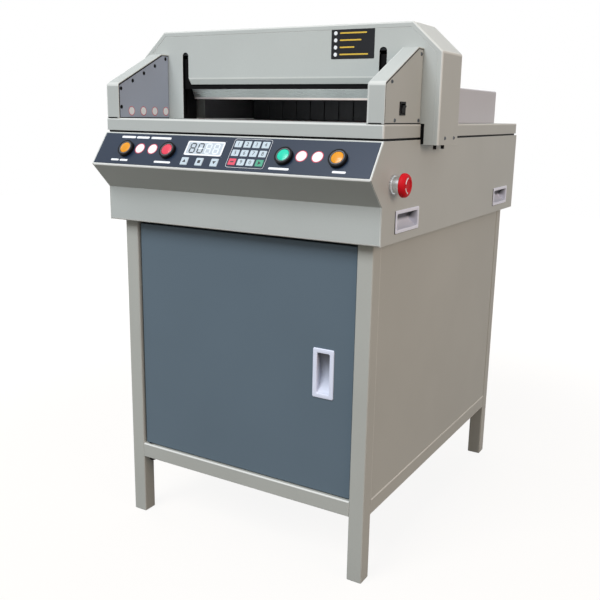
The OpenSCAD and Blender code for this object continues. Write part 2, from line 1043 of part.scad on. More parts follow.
// Bed under the knife, with the groove of the cutting stick and the bores of the pull rods
bed_clear = 5;
x_bed = x_beam - sheet - bed_clear;
stick_w = 12;
stick_h = 8;
x_stick = x_rod - rod_d / 2 - bed_clear;

module cutting_bed() {
  color("#9a9b98")
    difference() {
      block([-x_bed, x_bed], [y_bed, y_bed_rear], [z_bed, z_table]);
      block([-x_stick, x_stick], about(y_edge, stick_w), [z_table - stick_h, z_table + cut]);
      both_sides()
        rod_z(x_rod, y_rod, [z_bed - cut, z_table + cut], rod_d / 2 + slide_fit);
    }
}

module cutting_stick() {
  color("#c8202c")
    block([-x_stick, x_stick], about(y_edge, stick_w), [z_table - stick_h, z_table]);
}

// Steel plates on the case floor that carry the bed and the tables, slotted for the yoke bar
module base_plates() {
  yoke_room = 3;
  z_slot = z_yoke - yoke_h / 2 - stroke - yoke_room;
  color("#6f7174")
    both_sides()
      difference() {
        block([x_base - base_t, x_base], [y_band + fold + 2 * sheet, y_table_rear - skirt_t - seam],
          [z_case + sheet, z_plate]);
        block([x_base - base_t - cut, x_base + cut], [y_bed - seam, y_bed_rear + seam],
          [z_bed, z_plate + cut]);
        block([x_base - base_t - cut, x_base + cut],
          [y_carrier - yoke_room, y_yoke_rear + yoke_room], [z_slot, z_bed + cut]);
      }
}

// Posts with a foot on the bed and two guide grooves on the inner face
module beam_posts() {
  foot_t = 10;
  foot_out = x_bed - bed_clear;
  rib_t = 10;
  color("#6f7174")
    both_sides()
      difference() {
        union() {
          block([x_post, x_post + post_t], [y_bed, y_bed_rear], [z_table, z_bar]);
          block([x_post, foot_out], [y_bed, y_bed_rear], [z_table, z_table + foot_t]);
          block([x_post + post_t, foot_out - foot_t], about(y_clamp_mid, rib_t),
            [z_table + foot_t, z_shoulder - foot_t]);
        }
        block([x_post - cut, x_post + groove], [y_carrier - slide_fit, y_knife + slide_fit],
          [z_table - cut, z_bar + cut]);
        block([x_post - cut, x_post + groove], about(y_clamp_mid, tongue_t + 2 * slide_fit),
          [z_table + foot_t, z_bar + cut]);
      }
}

module top_bar() {
  color("#6f7174")
    difference() {
      block([-x_post - post_t, x_post + post_t], [y_bed, y_bed_rear], [z_bar, z_bar_top]);
      rod_z(0, y_clamp_mid, [z_bar - cut, z_bar_top + cut], clamp_screw_d / 2 + run_fit);
    }
}

// Front outline of the hood in (x, z), from the left column over the top to the right one
hood_outline = [
  [-x_beam, z_column], [-x_beam, z_shoulder], [-x_beam_top, z_beam],
  [x_beam_top, z_beam], [x_beam, z_shoulder], [x_beam, z_column]
];

module beam_hood() {
  throat = x_post - rod_in / 2;
  throat_room = 4;
  throat_up = cover_h + throat_room;
  color("#b8bdb9") {
    along_y([y_beam, y_beam_rear])
      polygon(folded(hood_outline, sheet));
    along_y([y_beam, y_beam + sheet])
      polygon(folded(hood_outline, flange_w));
    along_y([y_beam_rear - sheet, y_beam_rear])
      difference() {
        polygon(hood_outline);
        translate([-x_column, z_column - cut])
          square([2 * x_column, z_table + cut - z_column + seam]);
        translate([-throat, z_column])
          square([2 * throat, z_table + throat_up - z_column]);
      }
  }
}

// Front cover inside the edge of the hood, with the slots and the folded lip
module beam_front() {
  x_open = slot_x + slot_w / 2;
  x_flap = slot_x - slot_w / 2;
  slot_r = slot_w / 2;
  z_slot = z_beam - slot_drop - slot_r;
  lip_mitre = 4;
  lip_end = 0.5;
  x_lip = x_flap - lip_end;
  z_lip = z_fold - sqrt(lip_h * lip_h - lip_in * lip_in);
  color("#b8bdb9") {
    along_y([y_front, y_front + front_t])
      difference() {
        polygon(moved(hood_outline, flange_w + seam / 4));
        translate([-x_column, z_column - cut])
          square([2 * x_column, z_table + cut - z_column + seam]);
        translate([-x_open, z_column])
          square([2 * x_open, z_fold - z_column]);
        for (side = [-1, 1]) {
          translate([side * slot_x - slot_r, z_fold - cut])
            square([slot_w, z_slot - z_fold + cut]);
          translate([side * slot_x, z_slot])
            circle(r = slot_r);
        }
      }
    intersection() {
      along_x([-x_lip, x_lip])
        polygon([
          [y_front, z_fold], [y_front + lip_in, z_lip], [y_front + lip_in + front_t, z_lip],
          [y_front + front_t, z_fold]
        ]);
      along_y([y_front - cut, y_front + lip_in + front_t + cut])
        polygon([
          [-x_lip, z_fold], [-x_lip + lip_mitre, z_lip], [x_lip - lip_mitre, z_lip], [x_lip, z_fold]
        ]);
    }
  }
}

// Knife ground at the front, with a thin honed strip and its edge at the back face
module knife_blade() {
  x = knife_len / 2;
  land_t = 1.2;
  color("#d5d8da")
    along_x([-x, x])
      polygon([
        [y_edge, z_edge], [y_edge - land_t, z_edge + land_t / 2],
        [y_edge - land_t, z_edge + land_h], [y_knife, z_edge + bevel_h],
        [y_knife, z_edge + knife_h], [y_edge, z_edge + knife_h]
      ]);
}

module knife_carrier() {
  x = x_post + groove - slide_fit;
  color("#3f4144")
    block([-x, x], [y_carrier, y_knife], [z_carrier, z_carrier + carrier_h]);
}

// Pull rods from the carrier down to a yoke bar with a level slot for the crank pin
module pull_yoke() {
  z = about(z_yoke, yoke_h);
  pin_r = crank_pin_d / 2 + pin_play;
  near = crank_x + crank_r * cos(crank_swing);
  far = crank_x + crank_r;
  rod_wall = 2;
  end = x_rod + rod_d / 2 + rod_wall;
  color("#7c7f83") {
    both_sides()
      rod_z(x_rod, y_rod, [z_yoke, z_carrier], rod_d / 2);
    difference() {
      block([-end, end], [y_carrier, y_yoke_rear], z);
      for (x = [near, far])
        rod_y(x, [y_carrier - cut, y_yoke_rear + cut], z_yoke, pin_r);
      block([near, far], [y_carrier - cut, y_yoke_rear + cut], about(z_yoke, 2 * pin_r));
    }
  }
}

// Crank disc on its shaft, with the pin raised by half the swing
module knife_crank() {
  pin_x = crank_x + crank_r * cos(crank_swing);
  shaft_len = 40;
  color("#8c8e90") {
    rod_y(crank_x, [y_crank, y_crank + crank_t], z_crank, crank_r + crank_edge);
    rod_y(pin_x, [y_carrier, y_crank + crank_t], z_yoke, crank_pin_d / 2);
    rod_y(crank_x, [y_crank, y_crank + crank_t + shaft_len], z_crank, crank_shaft_d / 2);
  }
}

module knife_gearbox() {
  foot_t = 12;
  foot_out = 13;
  y = [y_gearbox, y_gearbox + gearbox_d];
  shaft_room = 45;
  color("#4d5052")
    difference() {
      union() {
        block(about(crank_x, gearbox_w), y, [z_case + sheet, z_crank + gearbox_rise]);
        block(about(crank_x, gearbox_w + 2 * foot_out), y,
          [z_case + sheet, z_case + sheet + foot_t]);
      }
      rod_y(crank_x, [y_gearbox - cut, y_gearbox + shaft_room], z_crank, crank_shaft_d / 2 + run_fit);
    }
}

module knife_motor() {
  r = 40;
  nose_r = 24;
  x0 = crank_x + gearbox_w / 2;
  len = 150;
  nose = 12;
  y = y_gearbox + gearbox_d / 2;
  color("#5a5d60") {
    rod_x([x0, x0 + nose], y, z_crank, nose_r);
    rod_x([x0 + nose, x0 + len], y, z_crank, r);
  }
}

// Clamp bar with guide tongues at its ends and the nut of the clamp screw on top
module clamp_bar() {
  x = clamp_len / 2;
  tongue_x = x_post + groove - slide_fit;
  y = [y_clamp, y_clamp + clamp_t];
  z_top = z_clamp + clamp_h;
  hollow = clamp_screw_d / 2 + run_fit;
  bottom = 6;
  color("#55585b")
    difference() {
      union() {
        block([-x, x], y, [z_clamp, z_top]);
        block([-tongue_x, tongue_x], about(y_clamp_mid, tongue_t), [z_top - tongue_h, z_top]);
        intersection() {
          rod_z(0, y_clamp_mid, [z_top, z_top + nut_h], nut_d / 2);
          block(about(0, nut_d), y, [z_top, z_top + nut_h]);
        }
      }
      rod_z(0, y_clamp_mid, [z_clamp + bottom, z_top + nut_h + cut], hollow);
    }
}

module clamp_screw() {
  collar_t = 4;
  collar_rim = 4;
  collar = clamp_screw_d / 2 + collar_rim;
  color("#a8abad") {
    rod_z(0, y_clamp_mid, [z_clamp + screw_end, z_bar_top + screw_top], clamp_screw_d / 2);
    rod_z(0, y_clamp_mid, [z_bar - collar_t - slide_fit, z_bar - slide_fit], collar);
  }
}

module clamp_motor() {
  w = 90;
  d = 60;
  h = 18;
  end_room = 1;
  room = screw_top + end_room;
  color("#3f4144")
    difference() {
      block(about(0, w), about(y_clamp_mid, d), [z_bar_top, z_bar_top + h]);
      rod_z(0, y_clamp_mid, [z_bar_top - cut, z_bar_top + room], clamp_screw_d / 2 + run_fit);
    }
}

// Gauge block with upright ribs on its face and a foot behind it
module back_gauge() {
  x = gauge_len / 2;
  rib_w = 20;
  rib_pitch = 37;
  rib_t = 3;
  z = z_table + gauge_clear;
  n = floor((x - rib_w / 2) / rib_pitch);
  color("#2b2c2f") {
    block([-x, x], [y_gauge + rib_t, y_gauge + gauge_d], [z, z + gauge_h]);
    for (i = [-n : n])
      block(about(i * rib_pitch, rib_w), [y_gauge, y_gauge + rib_t + cut], [z, z + gauge_h]);
    block(about(0, foot_w), [y_gauge + gauge_d - cut, y_gauge + gauge_d + foot_len], [z, z + foot_h]);
  }
}

// Neck through the table slot, with the nut of the gauge screw under the table
module gauge_carriage() {
  y = [y_nut, y_nut + nut_len];
  color("#7c7f83")
    difference() {
      union() {
        block(about(0, neck_w), y, [z_screw, z_table + gauge_clear]);
        block(about(0, nut_w), y, about(z_screw, screw_block));
      }
      rod_y(0, [y_nut - cut, y_nut + nut_len + cut], z_screw, gauge_screw_d / 2 + run_fit);
    }
}

module gauge_screw() {
  color("#a8abad")
    rod_y(0, [y_bearing_front, y_bearing_rear + bearing_t + motor_len / 2], z_screw, gauge_screw_d / 2);
}

module screw_bearings() {
  color("#6f7174")
    for (y = [y_bearing_front, y_bearing_rear])
      difference() {
        block(about(0, screw_block), [y, y + bearing_t], [z_screw - screw_block / 2, z_plate]);
        rod_y(0, [y - cut, y + bearing_t + cut], z_screw, gauge_screw_d / 2 + run_fit);
      }
}

module gauge_motor() {
  y = y_bearing_rear + bearing_t;
  color("#2f3133")
    difference() {
      block(about(0, motor_w), [y, y + motor_len], about(z_screw, motor_w));
      rod_y(0, [y - cut, y + motor_len / 2 + cut], z_screw, gauge_screw_d / 2 + run_fit);
    }
}

// Cover over the rear table, open in front and below, with a hinge knuckle on each side
module rear_cover() {
  x = cover_w / 2;
  web = about(z_hinge, sheet);
  color("#9c999a")
    difference() {
      union() {
        difference() {
          block([-x, x], [y_cover, y_cover_rear], [z_table + gauge_clear, z_table + cover_h]);
          block([-x + sheet, x - sheet], [y_cover - cut, y_cover_rear - sheet],
            [z_table - cut, z_table + cover_h - sheet]);
        }
        for (side = [-1, 1]) {
          rod_x(about(side * hinge_x, 2 * knuckle), y_hinge, z_hinge, hinge_r);
          block(about(side * hinge_x, 2 * knuckle), [y_cover_rear - sheet, y_hinge], web);
        }
      }
      for (side = [-1, 1])
        rod_x(about(side * hinge_x, 2 * knuckle + 2 * cut), y_hinge, z_hinge, hinge_pin_r + run_fit);
    }
}

// Fixed half of each cover hinge: leaf on the table, two knuckles and the pin
module rear_cover_hinges() {
  leaf_t = 2;
  leaf_d = 18;
  leaf_lap = 1;
  reach = 2 * knuckle;
  color("#808286")
    for (side = [-1, 1]) {
      for (end = [-1, 1]) {
        x = side * hinge_x + end * (1.5 * knuckle + seam);
        rod_x(about(x, knuckle), y_hinge, z_hinge, hinge_r);
        block(about(x, knuckle), [y_hinge, y_hinge + hinge_r], [z_table, z_hinge]);
      }
      rod_x(about(side * hinge_x, 2 * reach + 2 * seam), y_hinge, z_hinge, hinge_pin_r);
      block(about(side * hinge_x, 2 * reach + 2 * seam), [y_hinge + hinge_r - leaf_lap, y_hinge + leaf_d],
        [z_table, z_table + leaf_t]);
    }
}

// Side outline of a guard in (y, z), from the foot of its front edge to its rear end
guard_path = [
  [guard_y0, z_guard], [guard_y0, z_guard_front], [guard_ys, z_guard_back],
  [y_guard_end, z_guard_back]
];
guard_outline = concat(guard_path, [[y_guard_end, z_guard]]);

// Rim of a guard with one closed face, lying at 0 to guard_t along X, closed at 0
module guard_shell() {
  along_x([0, guard_t])
    polygon(folded(guard_path, sheet));
  along_x([0, sheet])
    polygon(guard_outline);
}

// Plate let into the open face of the shell
module guard_plate() {
  inner = moved(guard_path, sheet + seam / 2);
  along_x([guard_t - plate_in - sheet, guard_t - plate_in])
    polygon(concat(inner, [[y_guard_end, z_guard]]));
}

// Row of sensor holes under the slope, and one low at the front
sensor_n = 5;
sensor_front_in = 9.5;
sensor_back_in = 8;
sensor_down = 9;
sensor_low = 22;
sensor_first = [guard_y0 + sensor_front_in, z_guard_front - sensor_down];
sensor_last = [y_guard_end - sensor_back_in, z_guard_back - sensor_down];
sensor_places = concat(
  [for (i = [0 : sensor_n - 1]) sensor_first + (sensor_last - sensor_first) * i / (sensor_n - 1)],
  [[guard_y0 + sensor_front_in, z_guard + sensor_low]]
);

module left_guard_shell() {
  color("#b8bdb9")
    translate([-x_guard, 0, 0])
      guard_shell();
}

module left_guard_plate() {
  color("#7e8791")
    translate([-x_guard, 0, 0])
      difference() {
        guard_plate();
        for (p = sensor_places)
          rod_x([guard_t - plate_in - sheet - cut, guard_t + cut], p[0], p[1], sensor_d / 2);
      }
}

module right_guard_shell() {
  color("#a09a8f")
    translate([x_guard - guard_t, 0, 0])
      difference() {
        guard_shell();
        for (p = sensor_places)
          rod_x([-cut, sheet + cut], p[0], p[1], sensor_d / 2);
      }
}

switch_lip = 1.5;
switch_body = switch_w - 2 * switch_lip;

module right_guard_plate() {
  color("#a09a8f")
    difference() {
      translate([x_guard - guard_t, 0, 0])
        guard_plate();
      block([x_guard - plate_in - sheet - cut, x_guard + cut],
        about(y_switch, switch_body + seam), about(z_switch, switch_body + seam));
    }
}

// Rocker switch: frame on the plate, rocker on an axis along Y
switch_flange = 2;
switch_depth = 16;
switch_wall = 2;
x_switch = x_guard - plate_in;
rocker_w = switch_body - 2 * switch_wall - 2 * slide_fit;
rocker_in = 3;
x_rocker = x_switch - rocker_in;
rocker_r = 1.5;
rocker_tilt = 10;
rocker_proud = 2.5;
rocker_face = rocker_in + switch_flange + rocker_proud;

module switch_frame() {
  inner = switch_body - 2 * switch_wall;
  color("#18181a")
    difference() {
      union() {
        block([x_switch, x_switch + switch_flange], about(y_switch, switch_w), about(z_switch, switch_w));
        block([x_switch - switch_depth, x_switch], about(y_switch, switch_body),
          about(z_switch, switch_body));
      }
      block([x_switch - switch_depth + switch_wall, x_switch + switch_flange + cut],
        about(y_switch, inner), about(z_switch, inner));
      rod_y(x_rocker, about(y_switch, switch_body - switch_wall), z_switch, rocker_r + run_fit);
    }
}

// Rocker with two faces that meet over the axis, tipped so that its upper end stands out
module switch_rocker() {
  half = rocker_w / 2;
  rise = rocker_face;
  dip = half * tan(rocker_tilt);
  tail = 5;
  shoulder = 2;
  side_in = 1;
  crown_in = 1.5;
  color("#232326")
    translate([x_rocker, y_switch, z_switch])
      rotate([0, rocker_tilt, 0]) {
        rotate([90, 0, 0])
          translate([0, 0, -half])
            linear_extrude(rocker_w)
              polygon([
                [-tail, -half / 2], [rise - shoulder, -half + side_in], [rise, -half + crown_in],
                [rise - dip, 0], [rise, half - crown_in], [rise - shoulder, half - side_in],
                [-tail, half / 2]
              ]);
        rod_y(0, about(0, switch_body - switch_wall - slide_fit), 0, rocker_r);
      }
}

// Button-head screw along +X with a six-sided recess, its seat at X = 0
module screw_head() {
  rotate([0, 90, 0])
    difference() {
      union() {
        cylinder(h = screw_h / 2, r = screw_r);
        translate([0, 0, screw_h / 2])
          cylinder(h = screw_h / 2, r1 = screw_r, r2 = screw_crown_r);
      }
      translate([0, 0, screw_h / 2])
        cylinder(h = screw_h, r = screw_socket_r, $fn = 6);
    }
}

// Screws of the guard cover plate and of the column covers
plate_screw_low = 6;
plate_screw_front = 44;
plate_screw_slope = 27;
plate_screw_back = 8;
plate_screw_down = 11;
column_screw_up = 12;
column_screw_in = [32, 79];

module cover_screws() {
  x_plate = x_guard - plate_in;
  slope = (guard_back_h - guard_front_h) / guard_run;
  color("#8e8f91") {
    for (p = [
      [guard_y0 + plate_screw_front, z_guard + plate_screw_low],
      [y_guard_end - plate_screw_back, z_guard + plate_screw_low],
      [guard_y0 + plate_screw_slope, z_guard_front + slope * plate_screw_slope - plate_screw_down],
      [y_guard_end - plate_screw_back, z_guard_back - plate_screw_down]
    ])
      translate([x_plate, p[0], p[1]])
        screw_head();
    both_sides()
      for (d = column_screw_in)
        translate([x_beam, y_beam + d, z_column + column_screw_up])
          screw_head();
  }
}

// Bolts that hold the posts to the bed, from below
module post_bolts() {
  color("#3a3a3c")
    both_sides()
      for (y = [y_bed + bolt_front_in, y_bed_rear - bolt_rear_in])
        translate([x_bed - bolt_in, y, z_bed - bolt_h])
          cylinder(h = bolt_h, r = bolt_r, $fn = 6);
}

stand_legs();
stand_rails();
left_side_panel();
right_side_panel();
back_panel();
cabinet_shelf();
stand_top_plate();
door_panel();
door_pull();
door_pivot_pins();
case_left_side();
case_right_side();
case_front();
case_tray();
side_pulls();
power_inlet();
panel_overlay();
display_window();
control_board();
button_bezels();
left_cut_cap();
power_cap();
reset_cap();
right_cut_cap();
stop_collar();
stop_stem();
stop_head();
front_table();
rear_table();
cutting_bed();
cutting_stick();
base_plates();
beam_posts();
top_bar();
beam_hood();
beam_front();
knife_blade();
knife_carrier();
pull_yoke();
knife_crank();
knife_gearbox();
knife_motor();
clamp_bar();
clamp_screw();
clamp_motor();
back_gauge();
gauge_carriage();
gauge_screw();
screw_bearings();
gauge_motor();
rear_cover();
rear_cover_hinges();
left_guard_shell();
left_guard_plate();
right_guard_shell();
right_guard_plate();
switch_frame();
switch_rocker();
cover_screws();
post_bolts();
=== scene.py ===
"""Electric paper cutter on a cabinet stand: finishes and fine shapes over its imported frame."""
import json
from math import cos, pi, radians, sin

import bmesh
import bpy
from bpy.props import FloatProperty, FloatVectorProperty, PointerProperty
from mathutils import Matrix, Vector


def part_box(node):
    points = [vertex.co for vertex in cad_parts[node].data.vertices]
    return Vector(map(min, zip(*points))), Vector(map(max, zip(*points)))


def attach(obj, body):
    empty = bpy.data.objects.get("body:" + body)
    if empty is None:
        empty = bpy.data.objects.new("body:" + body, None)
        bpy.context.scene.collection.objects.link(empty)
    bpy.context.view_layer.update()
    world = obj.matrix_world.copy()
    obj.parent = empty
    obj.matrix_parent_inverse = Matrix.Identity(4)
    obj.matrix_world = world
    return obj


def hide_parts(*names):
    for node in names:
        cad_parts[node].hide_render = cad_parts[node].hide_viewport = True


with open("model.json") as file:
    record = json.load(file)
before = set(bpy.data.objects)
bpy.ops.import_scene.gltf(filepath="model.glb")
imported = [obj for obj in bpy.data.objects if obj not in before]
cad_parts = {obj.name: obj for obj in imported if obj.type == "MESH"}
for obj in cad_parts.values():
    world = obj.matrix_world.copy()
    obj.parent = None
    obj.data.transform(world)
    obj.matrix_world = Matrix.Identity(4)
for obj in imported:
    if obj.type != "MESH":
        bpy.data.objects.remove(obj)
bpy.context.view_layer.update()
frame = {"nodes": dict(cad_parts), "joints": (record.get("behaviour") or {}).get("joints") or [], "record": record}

bl_info = {
    "name": "Paper Cutter Dress",
    "version": (1, 0, 0),
    "blender": (4, 5, 0),
    "location": "View3D > Sidebar > Paper Cutter",
    "description": "Dresses the frame of an electric paper cutter with its finishes and fine shapes",
    "category": "Object",
}

MM = 0.001
NODES = frame["nodes"]
SLOT_OF = {part["node"]: part["material_slot"] for part in frame["record"]["subparts"]}
BODY_OF = {
    node: body for body, nodes in frame["record"]["behaviour"]["bodies"].items() for node in nodes
}
PRESS = Vector(
    next(joint["axis"] for joint in frame["joints"] if joint["name"] == "power_press")
).normalized()


# Sizes and colours

def rgb(code):
    """An sRGB hex colour as linear red, green and blue."""
    parts = [int(code[i:i + 2], 16) / 255 for i in (1, 3, 5)]
    return tuple(p / 12.92 if p <= 0.04045 else ((p + 0.055) / 1.055) ** 2.4 for p in parts)


def colour(name, about, code):
    """A colour property whose default is an sRGB hex colour."""
    return FloatVectorProperty(
        name=name, description=about, default=rgb(code), size=3, min=0.0, max=1.0, subtype="COLOR"
    )


def length(name, about, size):
    """A length property whose default is given in millimetres."""
    return FloatProperty(
        name=name, description=about, default=size * MM, min=0.0, unit="LENGTH", precision=5
    )


class CutterColours(bpy.types.PropertyGroup):
    """Colours of the cutter's finishes and of its stage."""

    case: colour("Case paint", "Powder coat of the case, table, beam and guards", "#BBC0BC")
    # Lighter copies of the case paint that the fold bevels take: painted highlights, brightest on the control
    # face.
    edge: colour("Fold highlight paint", "Lighter paint on the folds of the case sheets, a painted highlight", "#D2D5D0")
    fold_highlight: colour("Bright fold highlight", "Near-white paint on the folds of the control face, a painted highlight", "#F0F2ED")
    # A little darker than the case paint, partly as painted shade under the case's overhang.
    stand: colour("Stand paint", "Powder coat of the legs, rails and cabinet walls", "#B4B6AF")
    # A lighter copy of the stand paint that the corner bevels take: a painted highlight.
    stand_highlight: colour("Stand corner highlight paint", "Lighter paint on the stand's corners, a painted highlight", "#DDDFDA")
    door: colour("Door paint", "Powder coat of the cabinet door", "#5E6E79")
    film: colour("Panel film", "Printed film of the control face", "#1A2A3E")
    plate: colour("Sensor plate", "Painted plate on the inner side of the left guard", "#A3ADBD")
    pull: colour("Pulls", "Moulded pulls of the door and the case", "#E8EEFF")
    black: colour("Black plastic", "Moulded bezels, switch and inlet", "#0B0B0D")
    orange: colour("Orange caps", "The two cut buttons", "#E29406")
    red: colour("Red cap", "The power button", "#E03F56")
    green: colour("Green cap", "The reset button", "#0CD0AC")
    stop: colour("Stop button", "The mushroom head", "#CE1220")
    stick: colour("Cutting stick", "Moulded stick in the bed", "#C7352B")
    blade: colour("Blade", "Ground face of the knife", "#D4D9D8")
    # Lighter and warmer than the blade: partly the honed bevel's polish, partly a painted reflection of the table.
    honed: colour("Honed edge", "Bright line along the knife's edge", "#DAD3CD")
    bright: colour("Bright metal", "Chrome plating", "#D6DADC")
    steel: colour("Machined steel", "Cutting bed", "#8C9094")
    frame: colour("Frame steel", "Posts, plates and yoke inside", "#26282A")
    screw: colour("Screws", "Zinc-plated screws and spindles", "#54585C")
    # Near black partly as blackened steel, partly as painted shade under the beam's lip over the knife.
    dark: colour("Blackened steel", "Knife carrier, clamp and pins", "#050506")
    gauge: colour("Back gauge", "Anodised gauge behind the clamp", "#56585A")
    cover: colour("Rear cover", "Moulded cover over the rear table", "#BABABF")
    motor: colour("Motor cases", "Lacquered motor bodies", "#4B5157")
    iron: colour("Gearbox", "Cast gearbox body", "#5A6066")
    board: colour("Circuit board", "Solder mask of the control board", "#1E5B3A")
    glass: colour("Display", "Pale display behind its window", "#ECF8FF")
    field: colour("Display field", "Field behind the display's bars", "#BCC7CF")
    segment: colour("Segments", "Set bars of the display", "#2E383F")
    ghost: colour("Bare segments", "Unset bars of the display", "#E4EDF3")
    ink: colour("Pale print", "Light lines and stripes on the film", "#EEF1F3")
    mark: colour("Red print", "Rims of the round marks", "#D2485A")
    yellow: colour("Yellow print", "Bars on the beam's plate", "#D8B43C")
    label: colour("Dark plate", "Plate on the beam's front", "#1C1D20")
    key: colour("Keys", "Pale key tops", "#BFCED6")
    red_key: colour("Red key", "The pad's red key", "#D8465E")
    green_key: colour("Green key", "The pad's green key", "#3F9C7C")
    # A grey ring round each cap: a painted highlight where the bezels' rims catch light.
    ring: colour("Button rings", "Rings between the caps and their bezels", "#50565C")
    floor: colour("Floor", "Floor under the cutter", "#57524A")


class CutterSizes(bpy.types.PropertyGroup):
    """Sizes of the fine shapes that the finishes add."""

    fold: length("Fold radius", "Outer radius of the folded sheet steel", 3.2)
    guard: length("Guard radius", "Outer radius of the guards' folds", 5.0)
    tube: length("Tube radius", "Corner radius of the stand's square tube", 2.4)
    rim: length("Rim radius", "Rounding of cut sheet edges", 0.5)
    moulding: length("Moulding radius", "Edge radius of moulded pieces", 1.2)
    film: length("Film", "Thickness of the printed film", 0.8)
    print_rise: length("Print", "Rise of printed marks over their surface", 0.1)
    key: length("Key", "Width of a key top", 16.4)
    key_tall: length("Key height", "Height of a key top on the pad", 14.4)
    soft_tall: length("Soft key height", "Height of a key top under the display", 17.2)
    key_rise: length("Key rise", "Height of a key top over the film", 0.95)
    key_pitch: length("Key pitch", "Spacing of the keys along the panel", 19.7)
    row_pitch: length("Row pitch", "Spacing of the rows of keys up the slant", 19.0)
    keypad_x: length("Keypad place", "Middle of the keypad along the panel", 55.2)
    keypad_up: length("Keypad height", "Middle of the keypad up the slant from the film's foot", 36.9)
    soft_pitch: length("Soft key pitch", "Spacing of the three keys under the display", 34.5)
    soft_up: length("Soft key place", "Middle of those keys up the slant", 14.1)
    marker: length("Round mark", "Radius of the round marks on the panel", 11.5)
    plate_marker: length("Plate mark", "Radius of the round marks on the sensor plate", 9.2)
    window: length("Sensor window", "Radius of the holes in the guards", 4.0)
    screw: length("Screw head", "Radius of a cover screw's head", 3.5)
    screw_rise: length("Screw rise", "Height of a cover screw's head", 1.6)


# Nodes and materials

HOLLOW = "hollow"
TONE_SPAN = (0.45, 1.0)
GLOSS_SPAN = (0.3, 0.7)


def add(tree, kind, ins=None, **settings):
    """Adds one node with its settings; an input takes a value, a socket or a node's first output."""
    node = tree.nodes.new(kind)
    for key, value in settings.items():
        setattr(node, key, value)
    for key, value in (ins or {}).items():
        if isinstance(value, bpy.types.Node):
            value = value.outputs[0]
        if isinstance(value, bpy.types.NodeSocket):
            tree.links.new(value, node.inputs[key])
        else:
            node.inputs[key].default_value = value
    return node


def shade(tint, factor):
    """A colour made lighter or darker, as a shader takes it."""
    return (*(min(1.0, part * factor) for part in tint), 1.0)


def grained(title, tint, grain, patch=0.22, drift=0.05, rough=(0.4, 0.5), height=0.02,
            stretch=(1, 1, 1), dust=None, **sockets):
    """A finish whose tone, gloss and relief follow noise; grain and height are in millimetres."""
    material = bpy.data.materials.new(title)
    material.use_nodes = True
    tree = material.node_tree
    place = add(tree, "ShaderNodeTexCoord").outputs["Object"]
    along = add(tree, "ShaderNodeMapping", {"Vector": place, "Scale": stretch})
    fine = add(tree, "ShaderNodeTexNoise", {"Vector": along, "Scale": 1 / (grain * MM), "Detail": 3.0})
    broad = add(tree, "ShaderNodeTexNoise", {"Vector": place, "Scale": 1 / patch, "Detail": 2.0})
    blend = add(tree, "ShaderNodeMath", {0: fine, 1: broad, 2: broad}, operation="MULTIPLY_ADD")
    low, high = TONE_SPAN
    tone = add(tree, "ShaderNodeMapRange", {"Value": blend, "From Min": low, "From Max": high})
    tinted = add(
        tree, "ShaderNodeMix",
        {0: tone, 6: shade(tint, 1 - drift), 7: shade(tint, 1 + drift)}, data_type="RGBA",
    ).outputs[2]
    # Painted shade: the colour darkens where the hollow attribute is high, towards a pull's roof.
    if dust:
        cup = add(tree, "ShaderNodeAttribute", attribute_name=HOLLOW).outputs["Fac"]
        tinted = add(
            tree, "ShaderNodeMix", {0: cup, 6: tinted, 7: shade(tint, dust)}, data_type="RGBA"
        ).outputs[2]
    low, high = GLOSS_SPAN
    gloss = add(
        tree, "ShaderNodeMapRange",
        {"Value": fine, "From Min": low, "From Max": high, "To Min": rough[0], "To Max": rough[1]},
    )
    relief = add(tree, "ShaderNodeBump", {"Height": fine, "Strength": 1.0, "Distance": height * MM})
    shader = tree.nodes["Principled BSDF"].inputs
    tree.links.new(tinted, shader["Base Color"])
    tree.links.new(gloss.outputs["Result"], shader["Roughness"])
    tree.links.new(relief.outputs["Normal"], shader["Normal"])
    for key, value in sockets.items():
        shader[key.replace("_", " ")].default_value = value
    return material


